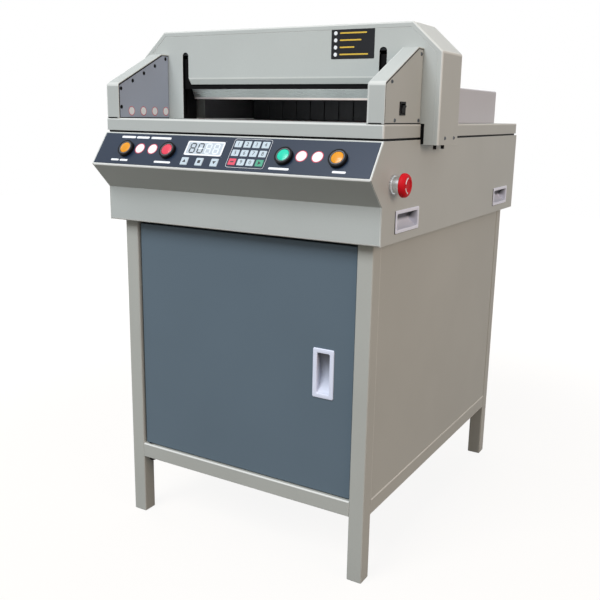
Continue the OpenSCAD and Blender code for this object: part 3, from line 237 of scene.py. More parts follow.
# How each surface was made, and what that gives the eye
SURFACES = {
    # Polyester powder baked on sheet steel: a satin skin whose orange peel breaks up highlights.
    # The real peel is about 1 mm; it is drawn at 3 mm so that the picture can hold it.
    "powder_coat": dict(grain=3.0, drift=0.03, rough=(0.46, 0.56), height=0.012, Specular_IOR_Level=0.25),
    # ABS from a spark-eroded mould: an even matt with a fine pebble, softer in its highlights.
    "moulded": dict(grain=1.2, drift=0.03, rough=(0.34, 0.46), height=0.012),
    # The same ABS in a cup, whose colour darkens towards its roof: painted shade in the hollow.
    "moulded_shaded_cup": dict(grain=1.2, drift=0.03, rough=(0.34, 0.46), height=0.012, dust=0.03),
    # ABS with a coarse spark-eroded face: it scatters what it reflects, and so it stays dark.
    "matt_moulded": dict(grain=1.2, drift=0.08, rough=(0.5, 0.62), height=0.02, Specular_IOR_Level=0.15),
    # Polycarbonate from a polished mould: strong colour under a clear glossy skin.
    "polished": dict(grain=2.5, patch=0.02, drift=0.06, rough=(0.18, 0.26), height=0.006,
                     Specular_IOR_Level=0.35, Coat_Weight=0.12, Coat_Roughness=0.15),
    # Polyester film printed on its back: a flat satin, with a faint embossed grain and a soft drift.
    "printed_film": dict(grain=1.0, patch=0.16, drift=0.09, rough=(0.3, 0.36), height=0.008,
                         Specular_IOR_Level=0.35),
    # Calendered vinyl with a matt face: it stays dark under light from the front.
    "matt_vinyl": dict(grain=1.2, patch=0.05, drift=0.08, rough=(0.6, 0.72), height=0.01,
                       Specular_IOR_Level=0.2),
    # Screen-printed ink: a thin matt layer that lies a little uneven.
    "screen_ink": dict(grain=0.8, patch=0.03, drift=0.04, rough=(0.45, 0.55), height=0.004),
    # Tool steel ground along its length: fine lines that draw reflections out across them.
    # The lines are drawn 1.5 mm apart, coarser than the grit leaves them, so that they show.
    "ground_steel": dict(grain=1.5, patch=0.12, drift=0.12, rough=(0.22, 0.4), height=0.01,
                         stretch=(0.02, 1, 1), Metallic=1.0),
    # Satin chrome on turned steel: bright, with wide soft highlights.
    "plated": dict(grain=2.0, patch=0.03, drift=0.06, rough=(0.26, 0.36), height=0.004, Metallic=1.0),
    # Zinc plating with its dull passive skin: grey, with soft highlights.
    "passivated": dict(grain=1.0, patch=0.02, drift=0.12, rough=(0.36, 0.5), height=0.006, Metallic=1.0),
    # Milled mild steel with a film of oil: grey, soft reflections and faint cutter marks.
    "machined": dict(grain=2.2, patch=0.1, drift=0.12, rough=(0.34, 0.5), height=0.012,
                     stretch=(1, 1, 0.2), Metallic=1.0),
    # Hot-oxidised steel: near black, mottled, with a dull metal sheen.
    "blackened": dict(grain=4.0, patch=0.08, drift=0.2, rough=(0.55, 0.7), height=0.012,
                      Metallic=0.1, Specular_IOR_Level=0.12),
    # Extruded aluminium, dark anodised: even and satin, with draw lines along the bar.
    "anodised": dict(grain=1.4, patch=0.1, drift=0.1, rough=(0.36, 0.5), height=0.008,
                     stretch=(0.05, 1, 1), Metallic=0.4),
    # Sand-cast iron under enamel: a coarse pebbled skin with dull highlights.
    "sand_cast": dict(grain=3.5, patch=0.06, drift=0.1, rough=(0.5, 0.65), height=0.12),
    # Glass-epoxy board under lacquer: glossy green with tracks running as fine lines.
    "solder_mask": dict(grain=2.0, patch=0.03, drift=0.25, rough=(0.2, 0.35), height=0.02,
                        stretch=(0.1, 1, 1)),
    # Acrylic window over a reflective display: pale, flat and glossy, a little uneven below.
    "display_glass": dict(grain=1.5, patch=0.05, drift=0.05, rough=(0.08, 0.14), height=0.002,
                          Coat_Weight=0.5, Coat_Roughness=0.05),
}

# Each finish: the material's name, its surface and the colour that it takes
FINISHES = {
    "case_paint": ("Powder-coated steel, case grey", "powder_coat", "case"),
    # The next two: lighter copies of the case paint for the fold bevels, painted highlights.
    "case_highlight": ("Powder-coated steel, thin on a fold", "powder_coat", "edge"),
    "fold_highlight": ("Powder-coated steel, worn on a fold", "powder_coat", "fold_highlight"),
    "stand_paint": ("Powder-coated steel, stand grey", "powder_coat", "stand"),
    # A lighter copy of the stand paint for the corner bevels: a painted highlight.
    "stand_highlight": ("Powder-coated steel, thin on a corner", "powder_coat", "stand_highlight"),
    "door_paint": ("Powder-coated steel, slate", "powder_coat", "door"),
    "sensor_plate": ("Powder-coated steel, plate slate", "powder_coat", "plate"),
    "pull_plastic": ("Moulded ABS, pale", "moulded_shaded_cup", "pull"),
    "black_plastic": ("Moulded ABS, matt black", "matt_moulded", "black"),
    "ring_plastic": ("Moulded ABS, ring grey", "moulded", "ring"),
    "cover_plastic": ("Moulded ABS, cover grey", "moulded", "cover"),
    "stick_plastic": ("Moulded polypropylene, red", "moulded", "stick"),
    "key_plastic": ("Embossed polyester key, pale", "moulded", "key"),
    "red_key": ("Embossed polyester key, red", "moulded", "red_key"),
    "green_key": ("Embossed polyester key, green", "moulded", "green_key"),
    "orange_cap": ("Polished polycarbonate, orange", "polished", "orange"),
    "red_cap": ("Polished polycarbonate, red", "polished", "red"),
    "green_cap": ("Polished polycarbonate, green", "polished", "green"),
    "stop_red": ("Moulded polycarbonate, stop red", "matt_moulded", "stop"),
    "overlay_film": ("Printed polyester film, slate", "printed_film", "film"),
    "label_film": ("Vinyl label, matt black", "matt_vinyl", "label"),
    "white_ink": ("Screen ink, pale", "screen_ink", "ink"),
    "red_ink": ("Screen ink, red", "screen_ink", "mark"),
    "yellow_ink": ("Screen ink, yellow", "screen_ink", "yellow"),
    "dark_ink": ("Screen ink, dark", "screen_ink", "label"),
    "display_field": ("Liquid crystal, field", "screen_ink", "field"),
    "set_segment": ("Liquid crystal, set", "screen_ink", "segment"),
    "bare_segment": ("Liquid crystal, bare", "screen_ink", "ghost"),
    "display_glass": ("Acrylic display window", "display_glass", "glass"),
    "board": ("Glass-epoxy board, lacquered", "solder_mask", "board"),
    "bright_metal": ("Chrome-plated steel, satin", "plated", "bright"),
    "screw_steel": ("Zinc-plated steel, passivated", "passivated", "screw"),
    "black_steel": ("Blackened steel, machined", "blackened", "dark"),
    "bed_steel": ("Machined steel, bed", "machined", "steel"),
    "frame_steel": ("Blackened steel, frame", "blackened", "frame"),
    "blade_steel": ("Tool steel, ground", "ground_steel", "blade"),
    "edge_steel": ("Tool steel, honed edge", "ground_steel", "honed"),
    "gearbox_iron": ("Cast iron, enamelled", "sand_cast", "iron"),
    "motor_case": ("Lacquered steel, drawn", "moulded", "motor"),
    "gauge_metal": ("Aluminium, dark anodised", "anodised", "gauge"),
}


def finish(key):
    """The material of a finish, made on its first use."""
    title, surface, tint = FINISHES[key]
    made = bpy.data.materials.get(title)
    return made or grained(title, getattr(bpy.context.scene.cutter_colours, tint), **SURFACES[surface])


# Pieces

def settle(piece, body, slot, *nodes):
    """Makes a finished piece ride on its body and hides the nodes that it stands for; its slot is not used."""
    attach(piece, body)
    if nodes:
        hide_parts(*nodes)
    return piece


def new_piece(name, data):
    """A new object at the origin that shows a mesh, a text, a lamp or a camera."""
    piece = bpy.data.objects.new(name, data)
    bpy.context.scene.collection.objects.link(piece)
    return piece


def plain_mesh(piece):
    """The plain mesh that a piece's modifiers or its text make."""
    graph = bpy.context.evaluated_depsgraph_get()
    return bpy.data.meshes.new_from_object(piece.evaluated_get(graph), depsgraph=graph)


def bake(piece):
    """Turns a piece's modifiers into its plain mesh."""
    mesh = plain_mesh(piece)
    piece.modifiers.clear()
    piece.data = mesh
    mesh.name = piece.name
    return piece


def piece_of(form, name, keys, body, slot, *nodes):
    """A settled piece from a bmesh, with one material for each finish that is named."""
    mesh = bpy.data.meshes.new(name)
    bmesh.ops.recalc_face_normals(form, faces=form.faces)
    form.to_mesh(mesh)
    form.free()
    for key in keys:
        mesh.materials.append(finish(key))
    return settle(new_piece(name, mesh), body, slot, *nodes)


def dress(*nodes):
    """Gives CAD nodes that keep their shape the finish of their slots."""
    for node in nodes:
        for place in NODES[node].material_slots:
            place.material = finish(SLOT_OF[node])


MERGE = 0.002 * MM
FLAT = radians(0.5)
CREASE = radians(30)
LONG_CREASE = radians(8)
LONG_EDGE = 60 * MM
FOLD_STEPS = 3
# Nodes whose fold bevels take another painted highlight than the case's
FOLD_HIGHLIGHTS = {
    "case_front": "fold_highlight", "stand_rails": "stand_highlight",
    "left_side_panel": "stand_highlight", "right_side_panel": "stand_highlight",
}


def face_width(face):
    """About how wide a face is across its narrow way."""
    return 2 * face.calc_area() / face.calc_perimeter()


def is_crease(edge, turn):
    """Whether two faces meet at an edge of the real piece, and not along a rounded surface."""
    return turn > CREASE or (turn > LONG_CREASE and edge.calc_length() > LONG_EDGE)


def rounded(fold, rim, *nodes):
    """Softens nodes: wide faces meet at the fold radius, thin ones at the rim's; gives the last piece."""
    for node in nodes:
        mesh = NODES[node].data.copy()
        form = bmesh.new()
        form.from_mesh(mesh)
        bmesh.ops.remove_doubles(form, verts=form.verts, dist=MERGE)
        bmesh.ops.dissolve_limit(form, angle_limit=FLAT, verts=form.verts, edges=form.edges)
        weight = form.edges.layers.float.new("bevel_weight_edge")
        for face in form.faces:
            face.smooth = True
            face.material_index = 0
        for edge in form.edges:
            turn = edge.calc_face_angle_signed(0.0)
            if not is_crease(edge, abs(turn)):
                continue
            edge.smooth = False
            if turn > 0:
                wide = min(face_width(face) for face in edge.link_faces) > 2 * fold
                edge[weight] = 1.0 if wide else rim / fold
        form.to_mesh(mesh)
        form.free()
        mesh.materials.clear()
        mesh.materials.append(finish(SLOT_OF[node]))
        piece = new_piece(f"{node}_finished", mesh)
        soft = piece.modifiers.new("Softened edges", "BEVEL")
        soft.limit_method = "WEIGHT"
        soft.width = fold
        soft.segments = FOLD_STEPS
        soft.use_clamp_overlap = False
        soft.harden_normals = True
        # The bevels take a lighter copy of the paint: a painted highlight on the folds.
        thin = FOLD_HIGHLIGHTS.get(node, "case_highlight" if SLOT_OF[node] == "case_paint" else None)
        if thin:
            mesh.materials.append(finish(thin))
            soft.material = 1
        piece.modifiers.new("Even shading", "WEIGHTED_NORMAL").keep_sharp = True
        settle(bake(piece), BODY_OF[node], SLOT_OF[node], node)
    return piece


def oblong(width, height, radius, steps=5):
    """A rounded rectangle about the origin, counter-clockwise from its lower right corner."""
    across, up = width / 2 - radius, height / 2 - radius
    corners = ((across, -up), (across, up), (-across, up), (-across, -up))
    return [
        Vector((x + radius * cos(a), y + radius * sin(a)))
        for turn, (x, y) in enumerate(corners)
        for a in [(turn - 1 + step / steps) * pi / 2 for step in range(steps + 1)]
    ]


def disc(radius, steps=32):
    """A circle about the origin."""
    turns = [2 * pi * step / steps for step in range(steps)]
    return [Vector((radius * cos(a), radius * sin(a))) for a in turns]


def bridge(form, rows, index=0):
    """Joins rows of as many vertices with quads, each row with the next."""
    for low, high in zip(rows, rows[1:]):
        for i in range(len(low)):
            j = (i + 1) % len(low)
            form.faces.new((low[i], low[j], high[j], high[i])).material_index = index


def loft(form, loops, index=0, closed_ring=False):
    """Joins loops of equal length with quads, and closes both ends or the ring that they make."""
    rows = [[form.verts.new(point) for point in loop] for loop in loops]
    if closed_ring:
        rows.append(rows[0])
    else:
        form.faces.new(list(reversed(rows[0]))).material_index = index
        form.faces.new(rows[-1]).material_index = index
    bridge(form, rows, index)


def on(place, outline, height):
    """An outline laid in a place's plane at a height over it."""
    return [place @ Vector((point.x, point.y, height)) for point in outline]


def plate(form, place, outline, rise, index=0, foot=0.0):
    """A flat plate on a plane."""
    loft(form, [on(place, outline, foot), on(place, outline, foot + rise)], index)


def frame_line(form, place, outer, inner, rise, index=0):
    """A flat line between two outlines of equal length."""
    loops = [on(place, outer, 0), on(place, outer, rise), on(place, inner, rise), on(place, inner, 0)]
    loft(form, loops, index, closed_ring=True)


def lathe(form, place, profile, steps=48):
    """Turns a profile of radius and height, from foot to top, about a place's own Z axis."""
    loft(form, [on(place, disc(radius, steps), height) for radius, height in profile])
    for face in form.faces:
        face.smooth = len(face.verts) == 4


def middle(node):
    """The middle of a node's box."""
    low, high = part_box(node)
    return (low + high) / 2


def facing(out, spot):
    """A place whose Z looks out of an upright face and whose Y points up it."""
    out, up = Vector(out), Vector((0, 0, 1))
    turn = Matrix((up.cross(out), up, out)).transposed().to_4x4()
    return Matrix.Translation(spot) @ turn


def shifted(place, x, y, height=0.0):
    """A place moved along its own plane."""
    return place @ Matrix.Translation((x, y, height))


# The control face's own plane: X along the machine, Y up the slant, Z outwards, from the film's foot

def panel_place():
    """Where the control face's plane lies in the frame."""
    out = -PRESS
    low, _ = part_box("panel_overlay")
    foot = Vector((0, low.y, low.z + bpy.context.scene.cutter_sizes.film * out.z))
    turn = Matrix((Vector((1, 0, 0)), Vector((0, out.z, -out.y)), out)).transposed().to_4x4()
    return Matrix.Translation(foot) @ turn


def panel_height():
    """The film's height up the slant."""
    low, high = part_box("panel_overlay")
    size = high - low
    return (size.z * PRESS.y + size.y * PRESS.z) / (PRESS.y ** 2 - PRESS.z ** 2)


# Node trees for what repeats

WELD = 0.01 * MM
KEY_CORNER = 1.4 * MM
KEY_TAPER = 0.93
SCREW_TAPER = 0.72
SCREW_SOCKET = 1.6 * MM
LENS_FLAT = (1, 1, 0.3)


def scatter_tree(title, sizes, shape):
    """A node tree that sets one shape on each point of a mesh, turned as the point says."""
    tree = bpy.data.node_groups.get(title)
    if tree:
        return tree
    tree = bpy.data.node_groups.new(title, "GeometryNodeTree")
    face = tree.interface
    face.new_socket("Geometry", in_out="INPUT", socket_type="NodeSocketGeometry")
    for label in sizes:
        face.new_socket(label, in_out="INPUT", socket_type="NodeSocketFloat")
    face.new_socket("Finish", in_out="INPUT", socket_type="NodeSocketMaterial")
    face.new_socket("Geometry", in_out="OUTPUT", socket_type="NodeSocketGeometry")
    given = add(tree, "NodeGroupInput").outputs
    turn = add(tree, "GeometryNodeInputNamedAttribute", {"Name": "turn"}, data_type="FLOAT_VECTOR")
    toward = add(tree, "FunctionNodeEulerToRotation", {"Euler": turn})
    placed = add(
        tree, "GeometryNodeInstanceOnPoints",
        {"Points": given["Geometry"], "Instance": shape(tree, given), "Rotation": toward},
    )
    whole = add(tree, "GeometryNodeRealizeInstances", {"Geometry": placed})
    dressed = add(tree, "GeometryNodeSetMaterial", {"Geometry": whole, "Material": given["Finish"]})
    add(tree, "NodeGroupOutput", {"Geometry": dressed})
    return tree


def scatter(name, tree, places, sizes, key, slot, *nodes):
    """One plain mesh of a tree's shape at every place, settled on the frame."""
    mesh = bpy.data.meshes.new(name)
    mesh.from_pydata([place.translation for place in places], [], [])
    turns = mesh.attributes.new("turn", "FLOAT_VECTOR", "POINT")
    for entry, place in zip(turns.data, places):
        entry.vector = place.to_euler()
    piece = new_piece(name, mesh)
    grow = piece.modifiers.new(tree.name, "NODES")
    grow.node_group = tree
    values = {**sizes, "Finish": finish(key)}
    for item in tree.interface.items_tree:
        if item.in_out == "INPUT" and item.name in values:
            grow[item.identifier] = values[item.name]
    return settle(bake(piece), "frame", slot, *nodes)


def raised(tree, flat, rise, taper=1.0):
    """A flat face raised to a height, drawn in towards its top and closed below."""
    wall = add(tree, "GeometryNodeExtrudeMesh", {"Mesh": flat, "Offset Scale": rise})
    drawn = add(
        tree, "GeometryNodeScaleElements",
        {"Geometry": wall, "Selection": wall.outputs["Top"], "Scale": taper},
    )
    below = add(tree, "GeometryNodeFlipFaces", {"Mesh": flat})
    both = add(tree, "GeometryNodeJoinGeometry", {"Geometry": drawn})
    tree.links.new(below.outputs["Mesh"], both.inputs["Geometry"])
    return add(tree, "GeometryNodeMergeByDistance", {"Geometry": both, "Distance": WELD})


def key_shape(tree, given):
    """A key top with round corners and a chamfered upper edge."""
    edge = add(
        tree, "GeometryNodeCurvePrimitiveQuadrilateral", {"Width": given["Side"], "Height": given["Tall"]}
    )
    eased = add(
        tree, "GeometryNodeFilletCurve", {"Curve": edge, "Radius": KEY_CORNER, "Count": 4}, mode="POLY"
    )
    flat = add(tree, "GeometryNodeFillCurve", {"Curve": eased}, mode="NGONS")
    return raised(tree, flat, given["Rise"], KEY_TAPER)


def screw_shape(tree, given):
    """A domed screw head with a hexagonal socket."""
    flat = add(
        tree, "GeometryNodeMeshCircle", {"Vertices": 24, "Radius": given["Radius"]}, fill_type="NGON"
    )
    head = raised(tree, flat, given["Rise"], SCREW_TAPER)
    socket = add(
        tree, "GeometryNodeMeshCylinder",
        {"Vertices": 6, "Radius": SCREW_SOCKET, "Depth": given["Rise"]}, fill_type="NGON",
    )
    depth = add(tree, "ShaderNodeCombineXYZ", {"Z": given["Rise"]})
    sunk = add(tree, "GeometryNodeTransform", {"Geometry": socket, "Translation": depth})
    return add(tree, "GeometryNodeMeshBoolean", {"Mesh 1": head, "Mesh 2": sunk}, operation="DIFFERENCE")


def lens_shape(tree, given):
    """A flattened dome behind a sensor's window."""
    ball = add(
        tree, "GeometryNodeMeshUVSphere", {"Segments": 20, "Rings": 10, "Radius": given["Radius"]}
    )
    return add(tree, "GeometryNodeTransform", {"Geometry": ball, "Scale": LENS_FLAT})


def spot_shape(tree, given):
    """A thin round spot of ink or film."""
    flat = add(
        tree, "GeometryNodeMeshCircle", {"Vertices": 40, "Radius": given["Radius"]}, fill_type="NGON"
    )
    return raised(tree, flat, given["Rise"])


# The stand

class CUTTER_OT_stand(bpy.types.Operator):
    """Finish the stand's legs, rails, walls and shelf"""

    bl_idname = "cutter.stand"
    bl_label = "Stand"

    def execute(self, context):
        sizes = context.scene.cutter_sizes
        rounded(sizes.tube, sizes.rim, "stand_legs", "stand_rails")
        rounded(sizes.rim, sizes.rim / 2, "left_side_panel", "right_side_panel", "back_panel",
                "cabinet_shelf", "stand_top_plate", "door_pivot_pins")
        return {"FINISHED"}


# Pulls

QUARTER = (0, pi / 6, pi / 3, pi / 2)
PULL_WALL = 1.6 * MM
PULL_FLANGE = 2 * MM
PULL_DEPTH = 17 * MM
# The power of a sine that the floor follows: a lower one makes a fuller bowl
PULL_BOWL = 0.8
PULL_CORNER = 3 * MM
PULL_FLOOR_CORNER = 2 * MM
PULL_STEPS = 12
PULL_FILLET = 1 * MM
PULL_HOOK = 2.5 * MM
PULL_HOOK_REACH = 9 * MM
# Each kind's rim, the rounding of its rim, and the shares of its height between which the painted shade sets in
DOOR_PULL = {"rim": 9 * MM, "ease": 1.4 * MM, "dust": (-0.45, 1.3)}
GRIP = {"rim": 6.5 * MM, "ease": 1.2 * MM, "dust": (0.33, 0.62)}
GRIP_SIZE = (106 * MM, 41 * MM)
# A black strip under each side pull's flange, shifted forward and down so that it shows along the front and the
# foot: a painted shadow line.
GRIP_SHADE_LINE = 0.8 * MM
SHADE_LINE_SHOW = (1.0 * MM, 0.5 * MM)


def pull_loop(place, width, height, rise, floor=None, radius=PULL_CORNER):
    """A rounded rectangle at a rise over a plane, or over a pull's floor, where its top hooks upwards."""
    corner = oblong(width, height, radius)
    half = len(corner) // 2
    low, high = corner[half // 2 - 1], corner[half // 2]
    side = [low.lerp(high, step / PULL_STEPS) for step in range(1, PULL_STEPS)]
    right = corner[:half // 2] + side + corner[half // 2:half]
    loop = []
    for point in right + [Vector((-point.x, point.y)) for point in reversed(right)]:
        lift, depth = 0.0, 0.0
        if floor:
            lift = PULL_HOOK * max(0.0, (point.y - height / 2 + PULL_HOOK_REACH) / PULL_HOOK_REACH)
            depth = floor(point.y)
        loop.append(place @ Vector((point.x, point.y + lift, depth + rise)))
    return loop


def moulded_pull(form, place, width, height, rim, ease, dust):
    """A pull cup: a rounded flange and a hollowed floor, with painted shade growing between two shares of its
    height.
    """
    inner_w, inner_h = width - 2 * rim, height - 2 * rim
    shell_w, shell_h = inner_w + 2 * PULL_WALL, inner_h + 2 * PULL_WALL

    def floor(y):
        share = min(1.0, max(0.0, y / inner_h + 0.5))
        return -PULL_DEPTH * sin(share * pi) ** PULL_BOWL

    loops = [
        pull_loop(place, shell_w, shell_h, -PULL_WALL, floor),
        pull_loop(place, shell_w, shell_h, 0.0),
        pull_loop(place, width, height, 0.0),
    ]
    for a in QUARTER:
        shrink = 2 * ease * (1 - cos(a))
        top = PULL_FLANGE - ease * (1 - sin(a))
        loops.append(pull_loop(place, width - shrink, height - shrink, top))
    for a in reversed(QUARTER):
        grow = 2 * ease * (1 - cos(a))
        top = PULL_FLANGE - ease * (1 - sin(a))
        loops.append(pull_loop(place, inner_w + grow, inner_h + grow, top))
    loops.append(pull_loop(place, inner_w, inner_h, PULL_FILLET, floor))
    loops.append(pull_loop(
        place, inner_w - 2 * PULL_FILLET, inner_h - 2 * PULL_FILLET, 0.0, floor, PULL_FLOOR_CORNER
    ))
    rows = [[form.verts.new(point) for point in loop] for loop in loops]
    hollow = form.verts.layers.float.get(HOLLOW)
    for vertex in rows[-2] + rows[-1]:
        share = (place.inverted() @ vertex.co).y / inner_h + 0.5
        level = min(1.0, max(0.0, (share - dust[0]) / (dust[1] - dust[0])))
        # A smooth step from no painted shade to full painted shade
        vertex[hollow] = level * level * (3 - 2 * level)
    bridge(form, rows)
    for row, turned in ((rows[0], True), (rows[-1], False)):
        for i in range(len(row) // 2 - 1):
            quad = (row[i], row[i + 1], row[-2 - i], row[-1 - i])
            form.faces.new(tuple(reversed(quad)) if turned else quad)
    for face in form.faces:
        face.smooth = True


class CUTTER_OT_door(bpy.types.Operator):
    """Finish the cabinet door and mould its pull"""

    bl_idname = "cutter.door"
    bl_label = "Door"

    def execute(self, context):
        sizes = context.scene.cutter_sizes
        rounded(sizes.tube, sizes.rim, "door_panel")
        low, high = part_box("door_pull")
        centre = (low + high) / 2
        place = facing((0, -1, 0), (centre.x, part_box("door_panel")[0].y, centre.z))
        form = bmesh.new()
        form.verts.layers.float.new(HOLLOW)
        moulded_pull(form, place, high.x - low.x, high.z - low.z, **DOOR_PULL)
        pull = piece_of(form, "door_pull_moulded", ["pull_plastic"], "door", "pull_plastic", "door_pull")
        pull.data.set_sharp_from_angle(angle=CREASE)
        return {"FINISHED"}


class CUTTER_OT_side_pulls(bpy.types.Operator):
    """Mould the four pulls in the case's sides"""

    bl_idname = "cutter.side_pulls"
    bl_label = "Side pulls"

    def execute(self, context):
        low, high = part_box("side_pulls")
        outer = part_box("case_right_side")[1].x
        form = bmesh.new()
        form.verts.layers.float.new(HOLLOW)
        for side in (-1, 1):
            for y in (low.y + GRIP_SIZE[0] / 2, high.y - GRIP_SIZE[0] / 2):
                place = facing((side, 0, 0), (side * outer, y, (low.z + high.z) / 2))
                moulded_pull(form, place, *GRIP_SIZE, **GRIP)
                # A black strip under the flange, shifted so that it shows along the front and the foot: a painted
                # shadow line.
                under = shifted(place, -side * SHADE_LINE_SHOW[0], -SHADE_LINE_SHOW[1])
                hole = [size - GRIP["rim"] for size in GRIP_SIZE]
                frame_line(form, under, oblong(*GRIP_SIZE, PULL_CORNER), oblong(*hole, PULL_FLOOR_CORNER),
                           GRIP_SHADE_LINE, 1)
        pulls = piece_of(form, "side_pulls_moulded", ["pull_plastic", "black_plastic"],
                         "frame", "pull_plastic", "side_pulls")
        pulls.data.set_sharp_from_angle(angle=CREASE)
        return {"FINISHED"}


# The case

class CUTTER_OT_case(bpy.types.Operator):
    """Finish the case's sheets and its power inlet"""

    bl_idname = "cutter.case"
    bl_label = "Case"

    def execute(self, context):
        sizes = context.scene.cutter_sizes
        rounded(sizes.fold, sizes.rim, "case_front", "case_left_side", "case_right_side", "case_tray")
        rounded(sizes.moulding, sizes.rim / 2, "power_inlet")
        return {"FINISHED"}


# The control face

CAPS = ("left_cut_cap", "power_cap", "reset_cap", "right_cut_cap")
# The keypad's raised field, and the line round its keys
PAD_FIELD = 0.3 * MM
PAD_MARGIN = (3.4 * MM, 4.4 * MM)
PAD_CORNER = 5 * MM
PAD_LINE = 0.6 * MM
# The display's glass, the mask round it and the pale border inside that
GLASS_TALL = 33.5 * MM
GLASS_CORNER = 3.5 * MM
GLASS_LAP = 1 * MM
MASK = (1.2 * MM, 1.0 * MM)
FIELD_IN = 3.2 * MM
# Pale bars in millimetres: the button that each is measured from, its shift and its length
TOP_BARS = ((0, -8, 36), (0, 29, 32), (0, 75, 50))
TOP_BAR_TALL = 5.0 * MM
TOP_BAR_DOWN = 8.0 * MM
FOOT_BARS = ((0, -19, 20), (0, 4, 20), (1, -4, 40), (2, -3, 42), (3, 9, 26))
FOOT_BAR_TALL = 4.4 * MM
FOOT_BAR_UP = 9.0 * MM
BAR_ROUND = 0.45
MARK_PITCH = 32 * MM
MARK_SHIFT = 4 * MM
MARK_UP = 37 * MM
SPOT_SHARE = 0.86
SPOT_RISE = 1.8
# A digit's bars: steps across and up from its middle, and whether the bar stands upright
SEGMENT_BARS = {
    "a": (0, 2, False), "b": (1, 1, True), "c": (1, -1, True), "d": (0, -2, False),
    "e": (-1, -1, True), "f": (-1, 1, True), "g": (0, 0, False),
}
SET_BARS = {"0": "abcdef", "8": "abcdefg", "-": ""}
READING = "80--"
DIGIT_SPACE = 0.4
DIGIT_HALF = (0.3, 0.16)
SEGMENT_GAP = 0.6 * MM
SEGMENT_HALF = 1.4 * MM
SEGMENT_RISE = 0.1 * MM


def segment(form, place, long, upright, index):
    """One bar of a digit: a strip with pointed ends."""
    end, half = long / 2, SEGMENT_HALF
    side = end - half
    corners = ((-end, 0), (-side, -half), (side, -half), (end, 0), (side, half), (-side, half))
    turn = Matrix.Rotation(pi / 2 if upright else 0, 4, "Z")
    plate(form, place @ turn, [Vector(corner) for corner in corners], SEGMENT_RISE, index)


def display_digits(form, place, width, height):
    """Seven-bar digits, with the bars that are not set left faint."""
    pitch = width / (len(READING) + DIGIT_SPACE)
    half_w, half_h = pitch * DIGIT_HALF[0], height * DIGIT_HALF[1]
    for column, digit in enumerate(READING):
        x = (column - (len(READING) - 1) / 2) * pitch
        for name, (across, up, upright) in SEGMENT_BARS.items():
            at = shifted(place, x + across * half_w, up * half_h)
            long = 2 * (half_h if upright else half_w) - SEGMENT_GAP
            segment(form, at, long, upright, 0 if name in SET_BARS[digit] else 1)


def cap_places(panel):
    """Each button's place in the panel's own plane."""
    return [panel.inverted() @ middle(node) for node in CAPS]


def mark_places(panel):
    """The round marks: two between each pair of buttons."""
    spots = cap_places(panel)
    return [
        shifted(panel, (left.x + right.x) / 2 - MARK_SHIFT + side * MARK_PITCH / 2, MARK_UP)
        for left, right in (spots[:2], spots[2:])
        for side in (-1, 1)
    ]


def round_marks(name, places, radius):
    """White spots with a thin red rim."""
    rise = bpy.context.scene.cutter_sizes.print_rise
    tree = scatter_tree("Ink spots", ("Radius", "Rise"), spot_shape)
    for part, reach, height, key in (
        ("rims", radius, rise, "red_ink"), ("spots", radius * SPOT_SHARE, rise * SPOT_RISE, "white_ink"),
    ):
        scatter(f"{name}_{part}", tree, places, {"Radius": reach, "Rise": height}, key, "overlay_film")


class CUTTER_OT_control_face(bpy.types.Operator):
    """Finish the panel film, its printed lines and the display"""

    bl_idname = "cutter.control_face"
    bl_label = "Control face"

    def execute(self, context):
        sizes = context.scene.cutter_sizes
        rise = sizes.print_rise
        panel = panel_place()
        dress("panel_overlay", "display_window", "control_board")
        form = bmesh.new()
        pad = shifted(panel, sizes.keypad_x, sizes.keypad_up, PAD_FIELD)
        pad_w = 3 * sizes.key_pitch + sizes.key + 2 * PAD_MARGIN[0]
        pad_h = 2 * sizes.row_pitch + sizes.key_tall + 2 * PAD_MARGIN[1]
        inside = oblong(pad_w - 2 * PAD_LINE, pad_h - 2 * PAD_LINE, PAD_CORNER - PAD_LINE)
        frame_line(form, pad, oblong(pad_w, pad_h, PAD_CORNER), inside, rise)
        low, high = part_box("display_window")
        window = panel.inverted() @ ((low + high) / 2)
        glass = shifted(panel, window.x, window.y)
        wide = high.x - low.x
        seen_w, seen_h = wide - 2 * MASK[0], GLASS_TALL - 2 * MASK[1]
        seen = oblong(seen_w, seen_h, GLASS_CORNER)
        field_w, field_h = seen_w - 2 * FIELD_IN, seen_h - 2 * FIELD_IN
        field = oblong(field_w, field_h, FIELD_IN / 2)
        mask = oblong(wide + GLASS_LAP, GLASS_TALL + GLASS_LAP, GLASS_CORNER)
        frame_line(form, glass, mask, seen, rise, 1)
        frame_line(form, glass, seen, field, rise)
        spots = cap_places(panel)
        for bars, y, tall in (
            (TOP_BARS, panel_height() - TOP_BAR_DOWN, TOP_BAR_TALL), (FOOT_BARS, FOOT_BAR_UP, FOOT_BAR_TALL),
        ):
            for button, shift, long in bars:
                at = shifted(panel, spots[button].x + shift * MM, y)
                plate(form, at, oblong(long * MM, tall, tall * BAR_ROUND), rise)
        piece_of(form, "panel_print", ["white_ink", "overlay_film"], "frame", "overlay_film")
        form = bmesh.new()
        plate(form, glass, field, rise, 2)
        display_digits(form, shifted(glass, 0, 0, rise), field_w, seen_h)
        piece_of(form, "display_digits", ["set_segment", "bare_segment", "display_field"],
                 "frame", "display_glass")
        round_marks("panel_marks", mark_places(panel), sizes.marker)
        return {"FINISHED"}


# Keys

RED_KEY = 8
GREEN_KEY = 11
NUMERAL = 11 * MM
ARROW = [Vector((-4 * MM, -2.6 * MM)), Vector((4 * MM, -2.6 * MM)), Vector((0, 3.6 * MM))]
BOX = oblong(6.4 * MM, 6.4 * MM, 0.8 * MM)
DASH = oblong(7.6 * MM, 2.4 * MM, 0.8 * MM)


